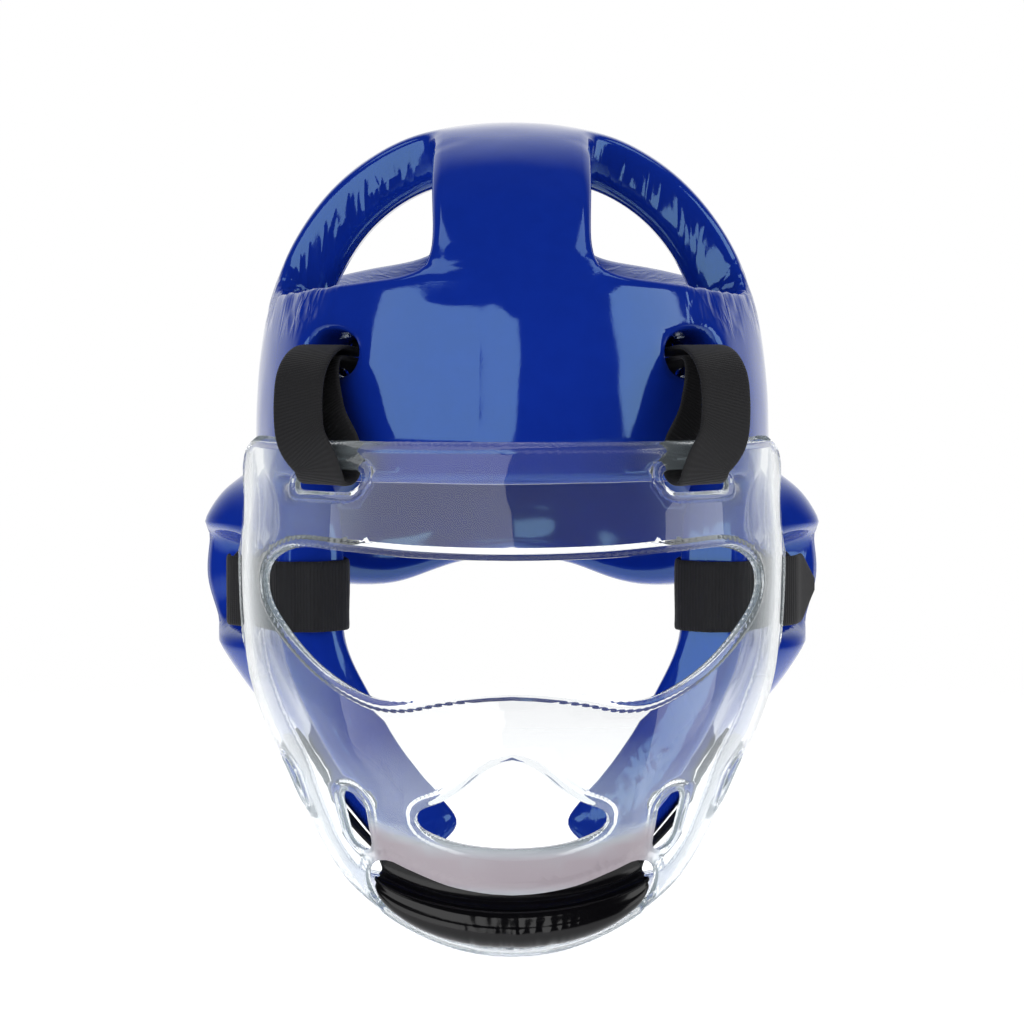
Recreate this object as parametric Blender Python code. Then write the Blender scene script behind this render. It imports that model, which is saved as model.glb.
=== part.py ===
# Sparring headgear with a clear face shield, in metres, +Z up, the face looking along -Y.
# The origin is the point of the inner crown that rests on the top of the head.

from math import asin, ceil, cos, degrees, hypot, pi, radians, sin

import bmesh
import bpy
from mathutils import Vector
from mathutils.bvhtree import BVHTree
from mathutils.geometry import delaunay_2d_cdt

# Head form and padding
HEAD_WIDTH = 0.156
HEAD_FRONT = 0.096
HEAD_BACK = 0.101
CROWN_HEIGHT = 0.100
PADDING = 0.022
CHEEK_EXTRA = 0.004
PLAN_FULLNESS = 2.2
CROWN_FULLNESS = 2.4

# Forehead band and back of the head
BAND_TOP = 0.036
BAND_TOP_DROP = 0.010
BAND_TOP_REAR_RISE = 0.008
BAND_BOTTOM = 0.113
NAPE_EDGE = 0.158
STRIP_HALF_WIDTH = 0.030
ARCH_FRONT = 0.028
ARCH_BACK = 0.020
BROW_SLOT_TOP = 0.057
BROW_SLOT_HEIGHT = 0.019

# Ear pads, cheeks and jaw flaps
EAR_TOP = 0.122
EAR_HOLE_TOP = 0.137
EAR_HOLE_BOTTOM = 0.183
EAR_RISE = 0.031
EAR_ROUNDING = 0.14
TEMPLE_RECESS = 0.0045
JAW_START = 0.203
JAW_END = 0.259

# Ear pad rows, top to bottom: depth below the crown and share of EAR_RISE
EAR_ROWS = (
    (EAR_TOP, 0.64),
    (EAR_HOLE_TOP, 0.88),
    ((EAR_HOLE_TOP + EAR_HOLE_BOTTOM) / 2, 1.08),
    (EAR_HOLE_BOTTOM, 0.72),
)
JAW_TOP_RISE = 0.40
JAW_BOW = 0.05
EAR_WALL_SHARE = 0.80

# Crown: stations along the strip as shares of the way from arch to band, how near the band they
# end as a share of the depth, and stations down the arch as shares of the half width
STRIP_STATIONS = (0.205, 0.455, 0.705)
STRIP_REACH = 0.92
ARCH_STATIONS = (0.50, 0.70, 0.85)
ARCH_TAPER = 0.15

# Shield
SHIELD_WALL = 0.0025
SHIELD_BEAD = 0.0045
SHIELD_SIDE_ROOM = 0.0045
SHIELD_FRONT_ROOM = 0.0225
SHIELD_HALF_WIDTH = HEAD_WIDTH / 2 + PADDING + SHIELD_SIDE_ROOM
SHIELD_REACH = HEAD_FRONT + PADDING + SHIELD_FRONT_ROOM
SHIELD_TOP = 0.097
SHIELD_BOTTOM = 0.2805
SHIELD_REAR = -0.008
SHIELD_FULLNESS = 2.8
SHIELD_CORNER = 0.010
BEAD_WIDTH = 0.0045
MESH_SPACING = 0.013
RING_ROOM = 0.0028

# Straps
ELASTIC_WIDTH = 0.022
ELASTIC_THICKNESS = 0.0015
TEMPLE_WIDTH = 0.0267
TEMPLE_THICKNESS = 0.0016
CHIN_STRAP_WIDTH = 0.020
CHIN_STRAP_THICKNESS = 0.0016
STRAP_LAYER = 0.0022
BROW_TAB = 0.017
BROW_TAB_ROOM = 0.0012
TEMPLE_TIP = 0.20
TEMPLE_FLARE_RIGHT = 0.0015
TEMPLE_FLARE_LEFT = 0.009

# Brow strap past the forehead slot, all the way round the shield's bar. First its outer run, then
# its turn round the bar, then its way back behind.
BROW_OUTER_RUN = (
    # share of the way from slot to bar, out, up
    (0.25, 0.0130, 0.004),
    (0.60, 0.0140, 0.000),
)
BROW_BAR_TURN = (
    # out from the bar's outer face, up
    (0.0055, 0.0060),
    (0.0015, -0.0008),
    (-SHIELD_WALL - 0.0030, 0.0010),
    (-SHIELD_WALL - 0.0050, 0.0100),
)
BROW_REAR_RUN = (
    (0.45, 0.0030, 0.000),
)

# Chin strap: its line on the jaw flap from front (0) to back (1), its stations down the flap, how
# far it runs on past the flap's end, and how much it hangs at the middle
CHIN_STRAP_LINE = 0.36
CHIN_STRAP_STATIONS = (0.20, 0.36, 0.54, 0.72, 0.90)
CHIN_STRAP_FREE = 0.014
CHIN_STRAP_SAG = 0.003

# Chin pad: how far out it reaches as a share of the shield's half width, its line's place down the
# shield and how much its ends rise as shares of the shield's height, its ends' size as a share of
# the middle's, and how far behind the shield's face its core lies, as a share of its height
CHIN_PAD_HEIGHT = 0.035
CHIN_PAD_REACH = 0.4760
CHIN_PAD_DOWN = 0.8900
CHIN_PAD_RISE = 0.0526
CHIN_PAD_END = 0.45
CHIN_PAD_CORE = -0.15
CHIN_PAD_STATIONS = 13

# Chin pad section: way down and distance out from its line on the shield's face, as shares of the
# pad's height
CHIN_PAD_SECTION = (
    (-0.52, -0.20), (-0.22, -0.19), (-0.03, -0.17), (0.05, 0.04), (0.17, 0.11), (0.30, 0.12),
    (0.40, 0.03), (0.43, -0.11), (0.36, -0.28), (0.12, -0.42), (-0.20, -0.44), (-0.48, -0.36),
)

# Gap between touching pieces, and the room that flat facets need over a curved surface
GAP = 0.0003
CHORD_ROOM = 0.0009
SETTLE_ROUNDS = 5

# Columns of the shell's right half: degrees from the front (0) round to the back (180)
COLUMNS = (0, 16, 33, 51, 65, 77, 88, 98, 109, 123, 143, 164, 180)
STRIP_FRONT, SLOT_LEFT, SLOT_RIGHT, CHEEK, ARCH_A, ARCH_B, ARCH_C, EAR_BACK, SIDE_BACK, STRIP_BACK = (
    1, 2, 3, 4, 5, 6, 7, 8, 9, 11)
LAST = len(COLUMNS) - 1

# Rise of the ear pad at the columns behind the cheek, as shares of EAR_RISE
EAR_COLUMN_RISE = {ARCH_C: 1.0, EAR_BACK: 1.0, SIDE_BACK: 0.60}

# Depth of the nape's lower edge at the rear columns, as shares of NAPE_EDGE
NAPE_SHARES = {SIDE_BACK + 1: 1.085, STRIP_BACK: 0.995, LAST: 1.00}

# Rows of the shell's right half: the one below the eyes' upper edge, the ear opening's two, and
# the first jaw row
CHEEK_ROW = 4
EAR_HOLE_ROWS = (6, 7)
NAPE_ROW = 7
JAW_ROW = 9

# Jaw rows: share of the way from JAW_START to JAW_END, outer half width at the front and back
# edges as shares of the outer half width, and y of both edges as shares of the front depth
JAW_ROWS = (
    # down, front_width, back_width, front_y, back_y
    (0.00, 0.770, 0.965, -0.460, 0.500),
    (0.37, 0.655, 0.850, -0.520, 0.250),
    (0.70, 0.500, 0.660, -0.570, -0.020),
    (1.00, 0.345, 0.460, -0.610, -0.280),
)

# Shield profile, top to bottom: depth below the crown and half width as shares of the shield's,
# front y and side y as shares of the reach, how far round the plan curve runs in degrees, and how
# much the row's ends lift above its middle, as a share of the shield's height
SHIELD_PROFILE = (
    # down, half_width, front_y, side_y, round, lift
    (0.000, 0.970, -0.910, -0.060, 66, 0.000),
    (0.045, 0.976, -0.915, -0.057, 77, 0.000),
    (0.130, 0.982, -0.922, -0.057, 88, 0.000),
    (0.290, 0.996, -0.948, -0.057, 90, 0.000),
    (0.480, 0.970, -0.975, -0.060, 90, 0.000),
    (0.595, 0.905, -0.990, -0.100, 90, 0.000),
    (0.690, 0.820, -0.998, -0.180, 90, 0.010),
    (0.780, 0.750, -1.000, -0.300, 90, 0.030),
    (0.855, 0.695, -1.000, -0.420, 90, 0.060),
    (0.920, 0.645, -0.998, -0.520, 90, 0.090),
    (0.965, 0.600, -0.985, -0.580, 90, 0.108),
    (0.990, 0.550, -0.950, -0.610, 90, 0.115),
    (1.000, 0.490, -0.870, -0.620, 90, 0.115),
    (1.000, 0.410, -0.770, -0.630, 90, 0.110),
)
SHIELD_GIRTH = 1.6 * SHIELD_HALF_WIDTH

# Openings of the shield's right half, clockwise from the top: share of its half width out from
# the middle, and share of its height down from its top
EYE_OUTLINE = (
    (0.0000, 0.2271), (0.3143, 0.2227), (0.5714, 0.2133), (0.7524, 0.2116),
    (0.8524, 0.2493), (0.8619, 0.3102), (0.7905, 0.3712), (0.6571, 0.4404),
    (0.5000, 0.4875), (0.3810, 0.4964), (0.2286, 0.4809), (0.0000, 0.4698),
)
NOSE_OUTLINE = (
    (0.0000, 0.6083), (0.0810, 0.6249), (0.1571, 0.6593), (0.2381, 0.6881),
    (0.3048, 0.7036), (0.3286, 0.7213), (0.2952, 0.7452), (0.1714, 0.7690),
    (0.0000, 0.7778),
)
CHIN_OUTLINE = (
    (0.0000, 0.8670), (0.1905, 0.8532), (0.3429, 0.8227), (0.4250, 0.8061),
    (0.4930, 0.8227), (0.4880, 0.8700), (0.4250, 0.9146), (0.2286, 0.9682),
    (0.0000, 0.9846),
)

# Slots and vents on each side of the shield: centre as in the outlines, then the opening's width and
# height measured on the shield in metres, and its lean in degrees
BROW_SLOT = (0.6381, 0.0776, 0.0290, 0.0080, 0)
FRONT_VENT = (0.5333, 0.7368, 0.0120, 0.0235, -8)
SIDE_VENT = (0.7571, 0.6870, 0.0100, 0.0190, -22)
TEMPLE_SLOT_Y = -0.032
TEMPLE_SLOT_WIDTH = 0.0085
TEMPLE_DEPTH = (EAR_HOLE_TOP + EAR_HOLE_BOTTOM) / 2 - 0.001
TEMPLE_SLOT_HEIGHT = TEMPLE_WIDTH + 0.010


def power_wave(value, fullness):
    """Raise a sine or cosine to the power that makes a superellipse."""
    size = abs(value) ** (2 / fullness)
    return size if value >= 0 else -size


def outer_sizes():
    """Outer half width, front depth, back depth and crown height of the padding."""
    return HEAD_WIDTH / 2 + PADDING, HEAD_FRONT + PADDING, HEAD_BACK + PADDING, CROWN_HEIGHT + PADDING


def skin_point(angle, z):
    """Point of the outer skin at an angle from the front and a height."""
    half_width, front, back, height = outer_sizes()
    rise = max(0.0, (z + CROWN_HEIGHT) / height)
    share = (1 - min(rise, 1.0) ** CROWN_FULLNESS) ** (1 / CROWN_FULLNESS)
    across = power_wave(sin(radians(angle)), PLAN_FULLNESS)
    along = power_wave(cos(radians(angle)), PLAN_FULLNESS)
    depth = front if along > 0 else back
    return Vector((half_width * share * across, -depth * share * along, z))


def crown_point(x, y):
    """Point of the outer skin over a place on the crown."""
    half_width, front, back, height = outer_sizes()
    depth = front if y < 0 else back
    share = (abs(x / half_width) ** PLAN_FULLNESS + abs(y / depth) ** PLAN_FULLNESS) ** (1 / PLAN_FULLNESS)
    z = height * (1 - min(share, 1.0) ** CROWN_FULLNESS) ** (1 / CROWN_FULLNESS) - CROWN_HEIGHT
    return Vector((x, y, z))


def blend(start, end, share):
    return start + (end - start) * share


def band_top(angle):
    """Height of the band's top edge at an angle from the front."""
    turn = radians(angle)
    return -BAND_TOP - BAND_TOP_DROP * sin(turn) ** 2 + BAND_TOP_REAR_RISE * max(0.0, -cos(turn))


def shell_rows():
    """Outer points of the right half, row by row: a dictionary of (row, column)."""
    points = {}
    slot_bottom = BROW_SLOT_TOP + BROW_SLOT_HEIGHT
    rows = (None, BROW_SLOT_TOP, slot_bottom, (slot_bottom + BAND_BOTTOM) / 2, BAND_BOTTOM)
    for row, depth in enumerate(rows):
        for column, angle in enumerate(COLUMNS):
            z = -depth if depth else band_top(angle)
            points[row, column] = skin_point(angle, z)
    for row, (depth, rise) in enumerate(EAR_ROWS, start=CHEEK_ROW + 1):
        for column in range(CHEEK, (LAST if row <= NAPE_ROW else SIDE_BACK) + 1):
            edge = NAPE_EDGE * NAPE_SHARES.get(column, 0.0)
            level = depth
            if edge and row == NAPE_ROW:
                level = edge
            elif edge and row == NAPE_ROW - 1:
                level = (BAND_BOTTOM + edge) / 2
            point = skin_point(COLUMNS[column], -level)
            point.x += EAR_RISE * rise * EAR_COLUMN_RISE.get(column, 0.0)
            if column <= ARCH_B:
                point.x -= TEMPLE_RECESS
            points[row, column] = point
    ear_centre = points[7, ARCH_C]
    for key in ((6, ARCH_B), (6, EAR_BACK), (8, ARCH_B), (8, EAR_BACK)):
        points[key] = points[key].lerp(ear_centre, EAR_ROUNDING)
    half_width, front, _, _ = outer_sizes()
    for row, (down, front_width, back_width, front_y, back_y) in enumerate(JAW_ROWS, start=JAW_ROW):
        for column in range(CHEEK, SIDE_BACK + 1):
            share = (column - CHEEK) / (SIDE_BACK - CHEEK)
            bow = JAW_BOW * sin(pi * share)
            x = half_width * (blend(front_width, back_width, share) + bow)
            if row == JAW_ROW:
                x += EAR_RISE * JAW_TOP_RISE * EAR_COLUMN_RISE.get(column, 0.0)
            y = front * blend(front_y, back_y, share)
            points[row, column] = Vector((x, y, -blend(JAW_START, JAW_END, down)))
    return points


def shell_cells():
    """Corner keys of every cell of the right half that holds padding."""
    cells = []
    for row in range(JAW_ROW + len(JAW_ROWS) - 1):
        first = 0 if row < CHEEK_ROW else CHEEK
        last = LAST if row < NAPE_ROW else SIDE_BACK
        for column in range(first, last):
            in_brow_slot = row == 1 and column == SLOT_LEFT
            in_ear = row in EAR_HOLE_ROWS and column in (ARCH_B, ARCH_C)
            if not in_brow_slot and not in_ear:
                cells.append(((row, column), (row + 1, column), (row + 1, column + 1), (row, column + 1)))
    return cells


def crown_cells(points):
    """Add the crown's strip and arch to the points, and return their cells."""
    lines = (-ARCH_FRONT, (ARCH_BACK - ARCH_FRONT) / 2, ARCH_BACK)
    half_width, front, back, _ = outer_sizes()
    for index, y in enumerate(lines):
        for side in (0, 1):
            points["top", index, side] = crown_point(STRIP_HALF_WIDTH * side, y)
    cells = [[("top", i, 0), ("top", i, 1), ("top", i + 1, 1), ("top", i + 1, 0)] for i in (0, 1)]
    ends = (("front", -front, 0, 0, STRIP_FRONT), ("back", back, 2, LAST, STRIP_BACK))
    for name, reach, edge, centre, column in ends:
        previous = [("top", edge, 0), ("top", edge, 1)]
        for index, share in enumerate(STRIP_STATIONS):
            y = blend(lines[edge], STRIP_REACH * reach, share)
            current = [(name, index, side) for side in (0, 1)]
            for key in current:
                points[key] = crown_point(STRIP_HALF_WIDTH * key[2], y)
            cells.append([previous[0], previous[1], current[1], current[0]])
            previous = current
        cells.append([previous[0], previous[1], (0, column), (0, centre)])
    previous = [("top", index, 1) for index in range(3)]
    for number, share in enumerate(ARCH_STATIONS):
        current = [("arch", number, index) for index in range(3)]
        for key, y in zip(current, lines):
            points[key] = crown_point(half_width * share, y * (1 - ARCH_TAPER * share))
        cells += [[previous[i], previous[i + 1], current[i + 1], current[i]] for i in (0, 1)]
        previous = current
    foot = [(0, ARCH_A), (0, ARCH_B), (0, ARCH_C)]
    cells += [[previous[i], previous[i + 1], foot[i + 1], foot[i]] for i in (0, 1)]
    return cells


def thicken(mesh, depth_of):
    """Give an open sheet its wall inward, with a band of faces round every edge."""
    mesh.normal_update()
    outer = list(mesh.verts)
    rim = [edge for edge in mesh.edges if edge.is_boundary]
    faces = list(mesh.faces)
    inner = {}
    for vertex in outer:
        normal = vertex.normal.copy()
        if abs(vertex.co.x) < 1e-6:
            normal.x = 0.0
            normal.normalize()
        inner[vertex] = mesh.verts.new(vertex.co - normal * depth_of(vertex.co))
    for face in faces:
        mesh.faces.new([inner[vertex] for vertex in reversed(face.verts)])
    for edge in rim:
        loop = edge.link_loops[0]
        start, end = loop.vert, loop.link_loop_next.vert
        mesh.faces.new((end, start, inner[start], inner[end]))
    bmesh.ops.recalc_face_normals(mesh, faces=mesh.faces)


def make_material(name, colour, roughness):
    material = bpy.data.materials.new(name)
    material.use_nodes = True
    shader = material.node_tree.nodes["Principled BSDF"]
    shader.inputs["Base Color"].default_value = (*colour, 1.0)
    shader.inputs["Roughness"].default_value = roughness
    shader.inputs["Metallic"].default_value = 0.0
    return material


def finish_object(name, mesh, material):
    """Turn a bmesh into a named, smooth object of the scene."""
    data = bpy.data.meshes.new(name)
    mesh.to_mesh(data)
    mesh.free()
    data.materials.append(material)
    data.shade_smooth()
    data.set_sharp_from_angle(angle=radians(50))
    thing = bpy.data.objects.new(name, data)
    bpy.context.scene.collection.objects.link(thing)
    return thing


def make_shell(material):
    """One-piece padded shell: a cage of cells, thickened and rounded."""
    mesh = bmesh.new()
    points = shell_rows()
    cells = shell_cells() + crown_cells(points)
    vertices = {}
    for cell in cells:
        for key in cell:
            if key not in vertices:
                vertices[key] = mesh.verts.new(points[key])
        mesh.faces.new([vertices[key] for key in cell])
    bmesh.ops.mirror(mesh, geom=list(mesh.verts) + list(mesh.edges) + list(mesh.faces),
                     axis="X", merge_dist=1e-5)
    bmesh.ops.recalc_face_normals(mesh, faces=mesh.faces)
    middle = Vector((0, 0, -CROWN_HEIGHT))
    if sum(face.normal.dot(face.calc_center_median() - middle) for face in mesh.faces) < 0:
        bmesh.ops.reverse_faces(mesh, faces=mesh.faces)

    def wall(place):
        below = min(1.0, max(0.0, (-place.z - BAND_BOTTOM) / (EAR_HOLE_TOP - BAND_BOTTOM)))
        raised = max(0.0, abs(place.x) - outer_sizes()[0])
        return PADDING + CHEEK_EXTRA * below + raised * EAR_WALL_SHARE

    thicken(mesh, wall)
    shell = finish_object("foam_shell", mesh, material)
    rounding = shell.modifiers.new("Rounding", "SUBSURF")
    rounding.levels = 1
    rounding.render_levels = 1
    return shell


def surface_tree(thing):
    """Tree of the evaluated mesh, which the straps are laid on."""
    bpy.context.view_layer.update()
    return BVHTree.FromObject(thing, bpy.context.evaluated_depsgraph_get())


def profile_runs():
    """Length of the shield's front profile from its top edge to each row."""
    runs = [0.0]
    for upper, lower in zip(SHIELD_PROFILE, SHIELD_PROFILE[1:]):
        drop = (lower[0] - upper[0]) * (SHIELD_BOTTOM - SHIELD_TOP)
        reach = (lower[2] - upper[2]) * SHIELD_REACH
        runs.append(runs[-1] + hypot(drop, reach))
    return runs


def profile_at(run):
    """Row of the shield's profile at a length along it, on a smooth curve through the rows."""
    runs = profile_runs()
    rows = SHIELD_PROFILE
    last = len(rows) - 1
    index = 0
    while index < last - 1 and run > runs[index + 1]:
        index += 1
    step = runs[index + 1] - runs[index]
    share = min(max((run - runs[index]) / step, 0.0), 1.0)
    before, after = max(index - 1, 0), min(index + 2, last)
    values = []
    for i in range(len(rows[0])):
        start, end = rows[index][i], rows[index + 1][i]
        slope_in = (end - rows[before][i]) / (runs[index + 1] - runs[before]) * step
        slope_out = (rows[after][i] - start) / (runs[after] - runs[index]) * step
        square, cube = share ** 2, share ** 3
        values.append(start * (2 * cube - 3 * square + 1) + slope_in * (cube - 2 * square + share)
                      + end * (3 * square - 2 * cube) + slope_out * (cube - square))
    return values


def shield_point(across, run):
    """Point of the shield's outer face: across in lengths of girth, run down the profile."""
    down, half_width, front_y, side_y, round_to, lift = profile_at(run)
    angle = radians(round_to) * min(max(across / SHIELD_GIRTH, -1.0), 1.0)
    x = SHIELD_HALF_WIDTH * half_width * power_wave(sin(angle), SHIELD_FULLNESS)
    y = SHIELD_REACH * blend(side_y, front_y, power_wave(cos(angle), SHIELD_FULLNESS))
    lifted = down - lift * (x / (SHIELD_HALF_WIDTH * half_width)) ** 2
    return Vector((x, y, -blend(SHIELD_TOP, SHIELD_BOTTOM, lifted)))


def shield_normal(across, run):
    """Outward direction of the shield's outer face."""
    step = 0.0005
    over = shield_point(across + step, run) - shield_point(across - step, run)
    along = shield_point(across, run + step) - shield_point(across, max(run - step, 0.0))
    return over.cross(along).normalized() * -1


def on_shield(over, down):
    """Shield lengths (across, run) of a place given as shares of its half width and height."""
    low, high = 0.0, profile_runs()[-3]
    for _ in range(40):
        middle = (low + high) / 2
        row = profile_at(middle)
        share = min(abs(over) / row[1], 1.0)
        if row[0] - row[5] * share ** 2 < down:
            low = middle
        else:
            high = middle
    across = degrees(asin(share ** (SHIELD_FULLNESS / 2))) / row[4] * SHIELD_GIRTH
    return (across if over >= 0 else -across), low


def smooth_loop(points, count):
    """Evenly spaced points on a closed smooth curve through the given ones."""
    total = len(points)
    fine = []
    for index in range(total):
        p0, p1, p2, p3 = (points[(index + k) % total] for k in (-1, 0, 1, 2))
        for step in range(8):
            t = step / 8
            fine.append(tuple(
                0.5 * (2 * b + (c - a) * t + (2 * a - 5 * b + 4 * c - d) * t ** 2
                       + (3 * b - a - 3 * c + d) * t ** 3)
                for a, b, c, d in zip(p0, p1, p2, p3)))
    return even_loop(fine, count)


def even_loop(points, count):
    """Points at even steps along a closed chain of points."""
    chain = points + points[:1]
    marks = [0.0]
    for a, b in zip(chain, chain[1:]):
        marks.append(marks[-1] + hypot(b[0] - a[0], b[1] - a[1]))
    result = []
    index = 0
    for number in range(count):
        target = marks[-1] * number / count
        while marks[index + 1] < target:
            index += 1
        share = (target - marks[index]) / max(marks[index + 1] - marks[index], 1e-12)
        result.append(tuple(blend(a, b, share) for a, b in zip(chain[index], chain[index + 1])))
    return result


def mirrored(half):
    """Closed outline from its right half, whose first and last points are on the centre line."""
    return list(half) + [(-over, down) for over, down in reversed(half[1:-1])]


def slot_outline(slot, side, count):
    """Outline of a slot or vent with round ends, in shield lengths."""
    over, down, width, height, lean = slot
    across, run = on_shield(over, down)
    stretch = 0.001 / (shield_point(across + 0.001, run) - shield_point(across, run)).length
    radius = min(width, height) / 2
    long_half = max(width, height) / 2 - radius
    turn = radians(lean)
    outline = []
    for number in range(count):
        angle = 2 * pi * (number + 0.5) / count
        over, down = radius * cos(angle), radius * sin(angle)
        if width > height:
            over += long_half if over > 0 else -long_half
        else:
            down += long_half if down > 0 else -long_half
        turned = over * cos(turn) - down * sin(turn)
        outline.append((side * (across + turned * stretch), run + over * sin(turn) + down * cos(turn)))
    return outline


def side_slot(side, count):
    """Temple slot in the shield's side wall, in shield lengths."""
    run = on_shield(0.0, (TEMPLE_DEPTH - SHIELD_TOP) / (SHIELD_BOTTOM - SHIELD_TOP))[1]
    low, high = 0.0, SHIELD_GIRTH
    for _ in range(40):
        middle = (low + high) / 2
        if shield_point(middle, run).y < TEMPLE_SLOT_Y:
            low = middle
        else:
            high = middle
    step = shield_point(low + 0.001, run) - shield_point(low, run)
    stretch = 0.001 / step.length
    radius = TEMPLE_SLOT_WIDTH / 2
    half = TEMPLE_SLOT_HEIGHT / 2 - radius
    outline = []
    for number in range(count):
        angle = 2 * pi * (number + 0.5) / count
        along = radius * sin(angle) + (half if sin(angle) > 0 else -half)
        outline.append((side * (low + radius * cos(angle) * stretch), run + along))
    return outline


def shield_openings():
    """Every opening of the shield as a loop of shield lengths."""
    loops = []
    for half, count in ((EYE_OUTLINE, 48), (NOSE_OUTLINE, 28), (CHIN_OUTLINE, 28)):
        outline = smooth_loop(mirrored(half), 4 * count)
        loops.append(even_loop([on_shield(*place) for place in outline], count))
    for side in (1, -1):
        for slot in (BROW_SLOT, FRONT_VENT, SIDE_VENT):
            loops.append(even_loop(slot_outline(slot, side, 40), 14))
        loops.append(even_loop(side_slot(side, 40), 14))
    return loops


def shield_edge(count):
    """Outer edge of the shield in shield lengths, with round upper corners."""
    end = profile_runs()[-1]
    corner = SHIELD_CORNER
    loop = []
    for across, run, start in ((1, 0, -90), (1, 1, 0), (-1, 1, 90), (-1, 0, 180)):
        for number in range(6):
            angle = radians(start + 90 * number / 5)
            loop.append((across * (SHIELD_GIRTH - corner) + corner * cos(angle),
                         run * (end - 2 * corner) + corner + corner * sin(angle)))
    return even_loop(loop, count)


def inside(point, loop):
    """Whether a flat point lies inside a closed loop."""
    x, y = point
    result = False
    for (ax, ay), (bx, by) in zip(loop, loop[1:] + loop[:1]):
        if (ay > y) != (by > y) and x < ax + (y - ay) * (bx - ax) / (by - ay):
            result = not result
    return result


def distance_to(point, loop):
    """Distance from a flat point to the nearest corner or side of a closed loop."""
    best = 1.0
    for (ax, ay), (bx, by) in zip(loop, loop[1:] + loop[:1]):
        dx, dy = bx - ax, by - ay
        share = ((point[0] - ax) * dx + (point[1] - ay) * dy) / max(dx * dx + dy * dy, 1e-15)
        share = min(max(share, 0.0), 1.0)
        best = min(best, hypot(point[0] - ax - share * dx, point[1] - ay - share * dy))
    return best


def offset_loop(loop, distance, count):
    """Loop moved outward from an opening by a distance."""
    area = sum(a[0] * b[1] - b[0] * a[1] for a, b in zip(loop, loop[1:] + loop[:1]))
    turn = 1 if area > 0 else -1
    moved = []
    total = len(loop)
    for index in range(total):
        a, b = loop[index - 1], loop[(index + 1) % total]
        dx, dy = b[0] - a[0], b[1] - a[1]
        size = hypot(dx, dy)
        moved.append((loop[index][0] + turn * dy / size * distance,
                      loop[index][1] - turn * dx / size * distance))
    return even_loop(moved, count)


def make_shield(material):
    """Clear shield: one curved sheet with beaded openings."""
    spacing = MESH_SPACING
    openings = shield_openings()
    edge = shield_edge(64)
    rings = []
    for loop in openings:
        ring = offset_loop(loop, BEAD_WIDTH, len(loop))
        rings.append([p for p in ring if all(distance_to(p, other) > RING_ROOM for other in openings)
                      and inside(p, edge)])
    places = []
    constraints = []
    for loop in [edge] + openings:
        first = len(places)
        places += loop
        constraints += [(first + i, first + (i + 1) % len(loop)) for i in range(len(loop))]
    on_edges = len(places)
    for ring in rings:
        for place in ring:
            if all(hypot(place[0] - q[0], place[1] - q[1]) > RING_ROOM for q in places):
                places.append(place)
    end = profile_runs()[-1]
    columns = ceil(2 * SHIELD_GIRTH / spacing)
    lines = ceil(end / spacing)
    for line in range(1, lines):
        for column in range(1, columns):
            place = (SHIELD_GIRTH * (2 * column / columns - 1), end * line / lines)
            clear = all(not inside(place, loop) and distance_to(place, loop) > 0.6 * spacing
                        for loop in openings)
            if clear and inside(place, edge) and distance_to(place, edge) > 0.5 * spacing:
                places.append(place)
    flat, _, triangles, *_ = delaunay_2d_cdt([Vector(p) for p in places], constraints, [], 0, 1e-7)
    mesh = bmesh.new()
    vertices = [mesh.verts.new(shield_point(p.x, p.y)) for p in flat]
    for a, b, c in triangles:
        middle = (flat[a] + flat[b] + flat[c]) / 3
        if inside(middle, edge) and not any(inside(middle, loop) for loop in openings):
            mesh.faces.new((vertices[a], vertices[b], vertices[c]))
    bmesh.ops.recalc_face_normals(mesh, faces=mesh.faces)
    rim = [e for e in mesh.edges if e.is_boundary]
    faces = list(mesh.faces)
    outward = sum(face.normal.y for face in faces) < 0
    if not outward:
        bmesh.ops.reverse_faces(mesh, faces=faces)
    back = []
    for index, place in enumerate(flat):
        wall = SHIELD_BEAD if index in range(len(edge), on_edges) else SHIELD_WALL
        normal = shield_normal(place.x, place.y)
        raised = (wall - SHIELD_WALL) / 2
        vertices[index].co = vertices[index].co + normal * raised
        back.append(mesh.verts.new(vertices[index].co - normal * wall))
    numbers = {vertex: index for index, vertex in enumerate(vertices)}
    for face in faces:
        mesh.faces.new([back[numbers[vertex]] for vertex in reversed(face.verts)])
    for side in rim:
        loop = side.link_loops[0]
        start, finish = loop.vert, loop.link_loop_next.vert
        mesh.faces.new((finish, start, back[numbers[start]], back[numbers[finish]]))
    return finish_object("face_shield", mesh, material)


def smooth_path(points, count):
    """Evenly spaced points on a smooth open curve through the given ones."""
    ends = [points[0] * 2 - points[1]] + list(points) + [points[-1] * 2 - points[-2]]
    fine = []
    for p0, p1, p2, p3 in zip(ends, ends[1:], ends[2:], ends[3:]):
        for step in range(10):
            t = step / 10
            fine.append(0.5 * (2 * p1 + (p2 - p0) * t + (2 * p0 - 5 * p1 + 4 * p2 - p3) * t ** 2
                               + (3 * p1 - p0 - 3 * p2 + p3) * t ** 3))
    fine.append(points[-1])
    marks = [0.0]
    for start, end in zip(fine, fine[1:]):
        marks.append(marks[-1] + (end - start).length)
    result = []
    index = 0
    for number in range(count):
        target = marks[-1] * number / (count - 1)
        while index < len(fine) - 2 and marks[index + 1] < target:
            index += 1
        share = (target - marks[index]) / (marks[index + 1] - marks[index])
        result.append(fine[index].lerp(fine[index + 1], share))
    return result


def settle(vertices, trees, clear):
    """Push points out until they clear every surface; the surfaces' faces point outward."""
    for _ in range(SETTLE_ROUNDS):
        for vertex in vertices:
            for tree in trees:
                near, normal, _, distance = tree.find_nearest(vertex.co)
                if distance > PADDING / 2:
                    continue
                if (vertex.co - near).dot(normal) < -0.5 * distance:
                    vertex.co = near + normal * clear
                elif distance < clear:
                    vertex.co = near + (vertex.co - near).normalized() * clear


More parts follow.
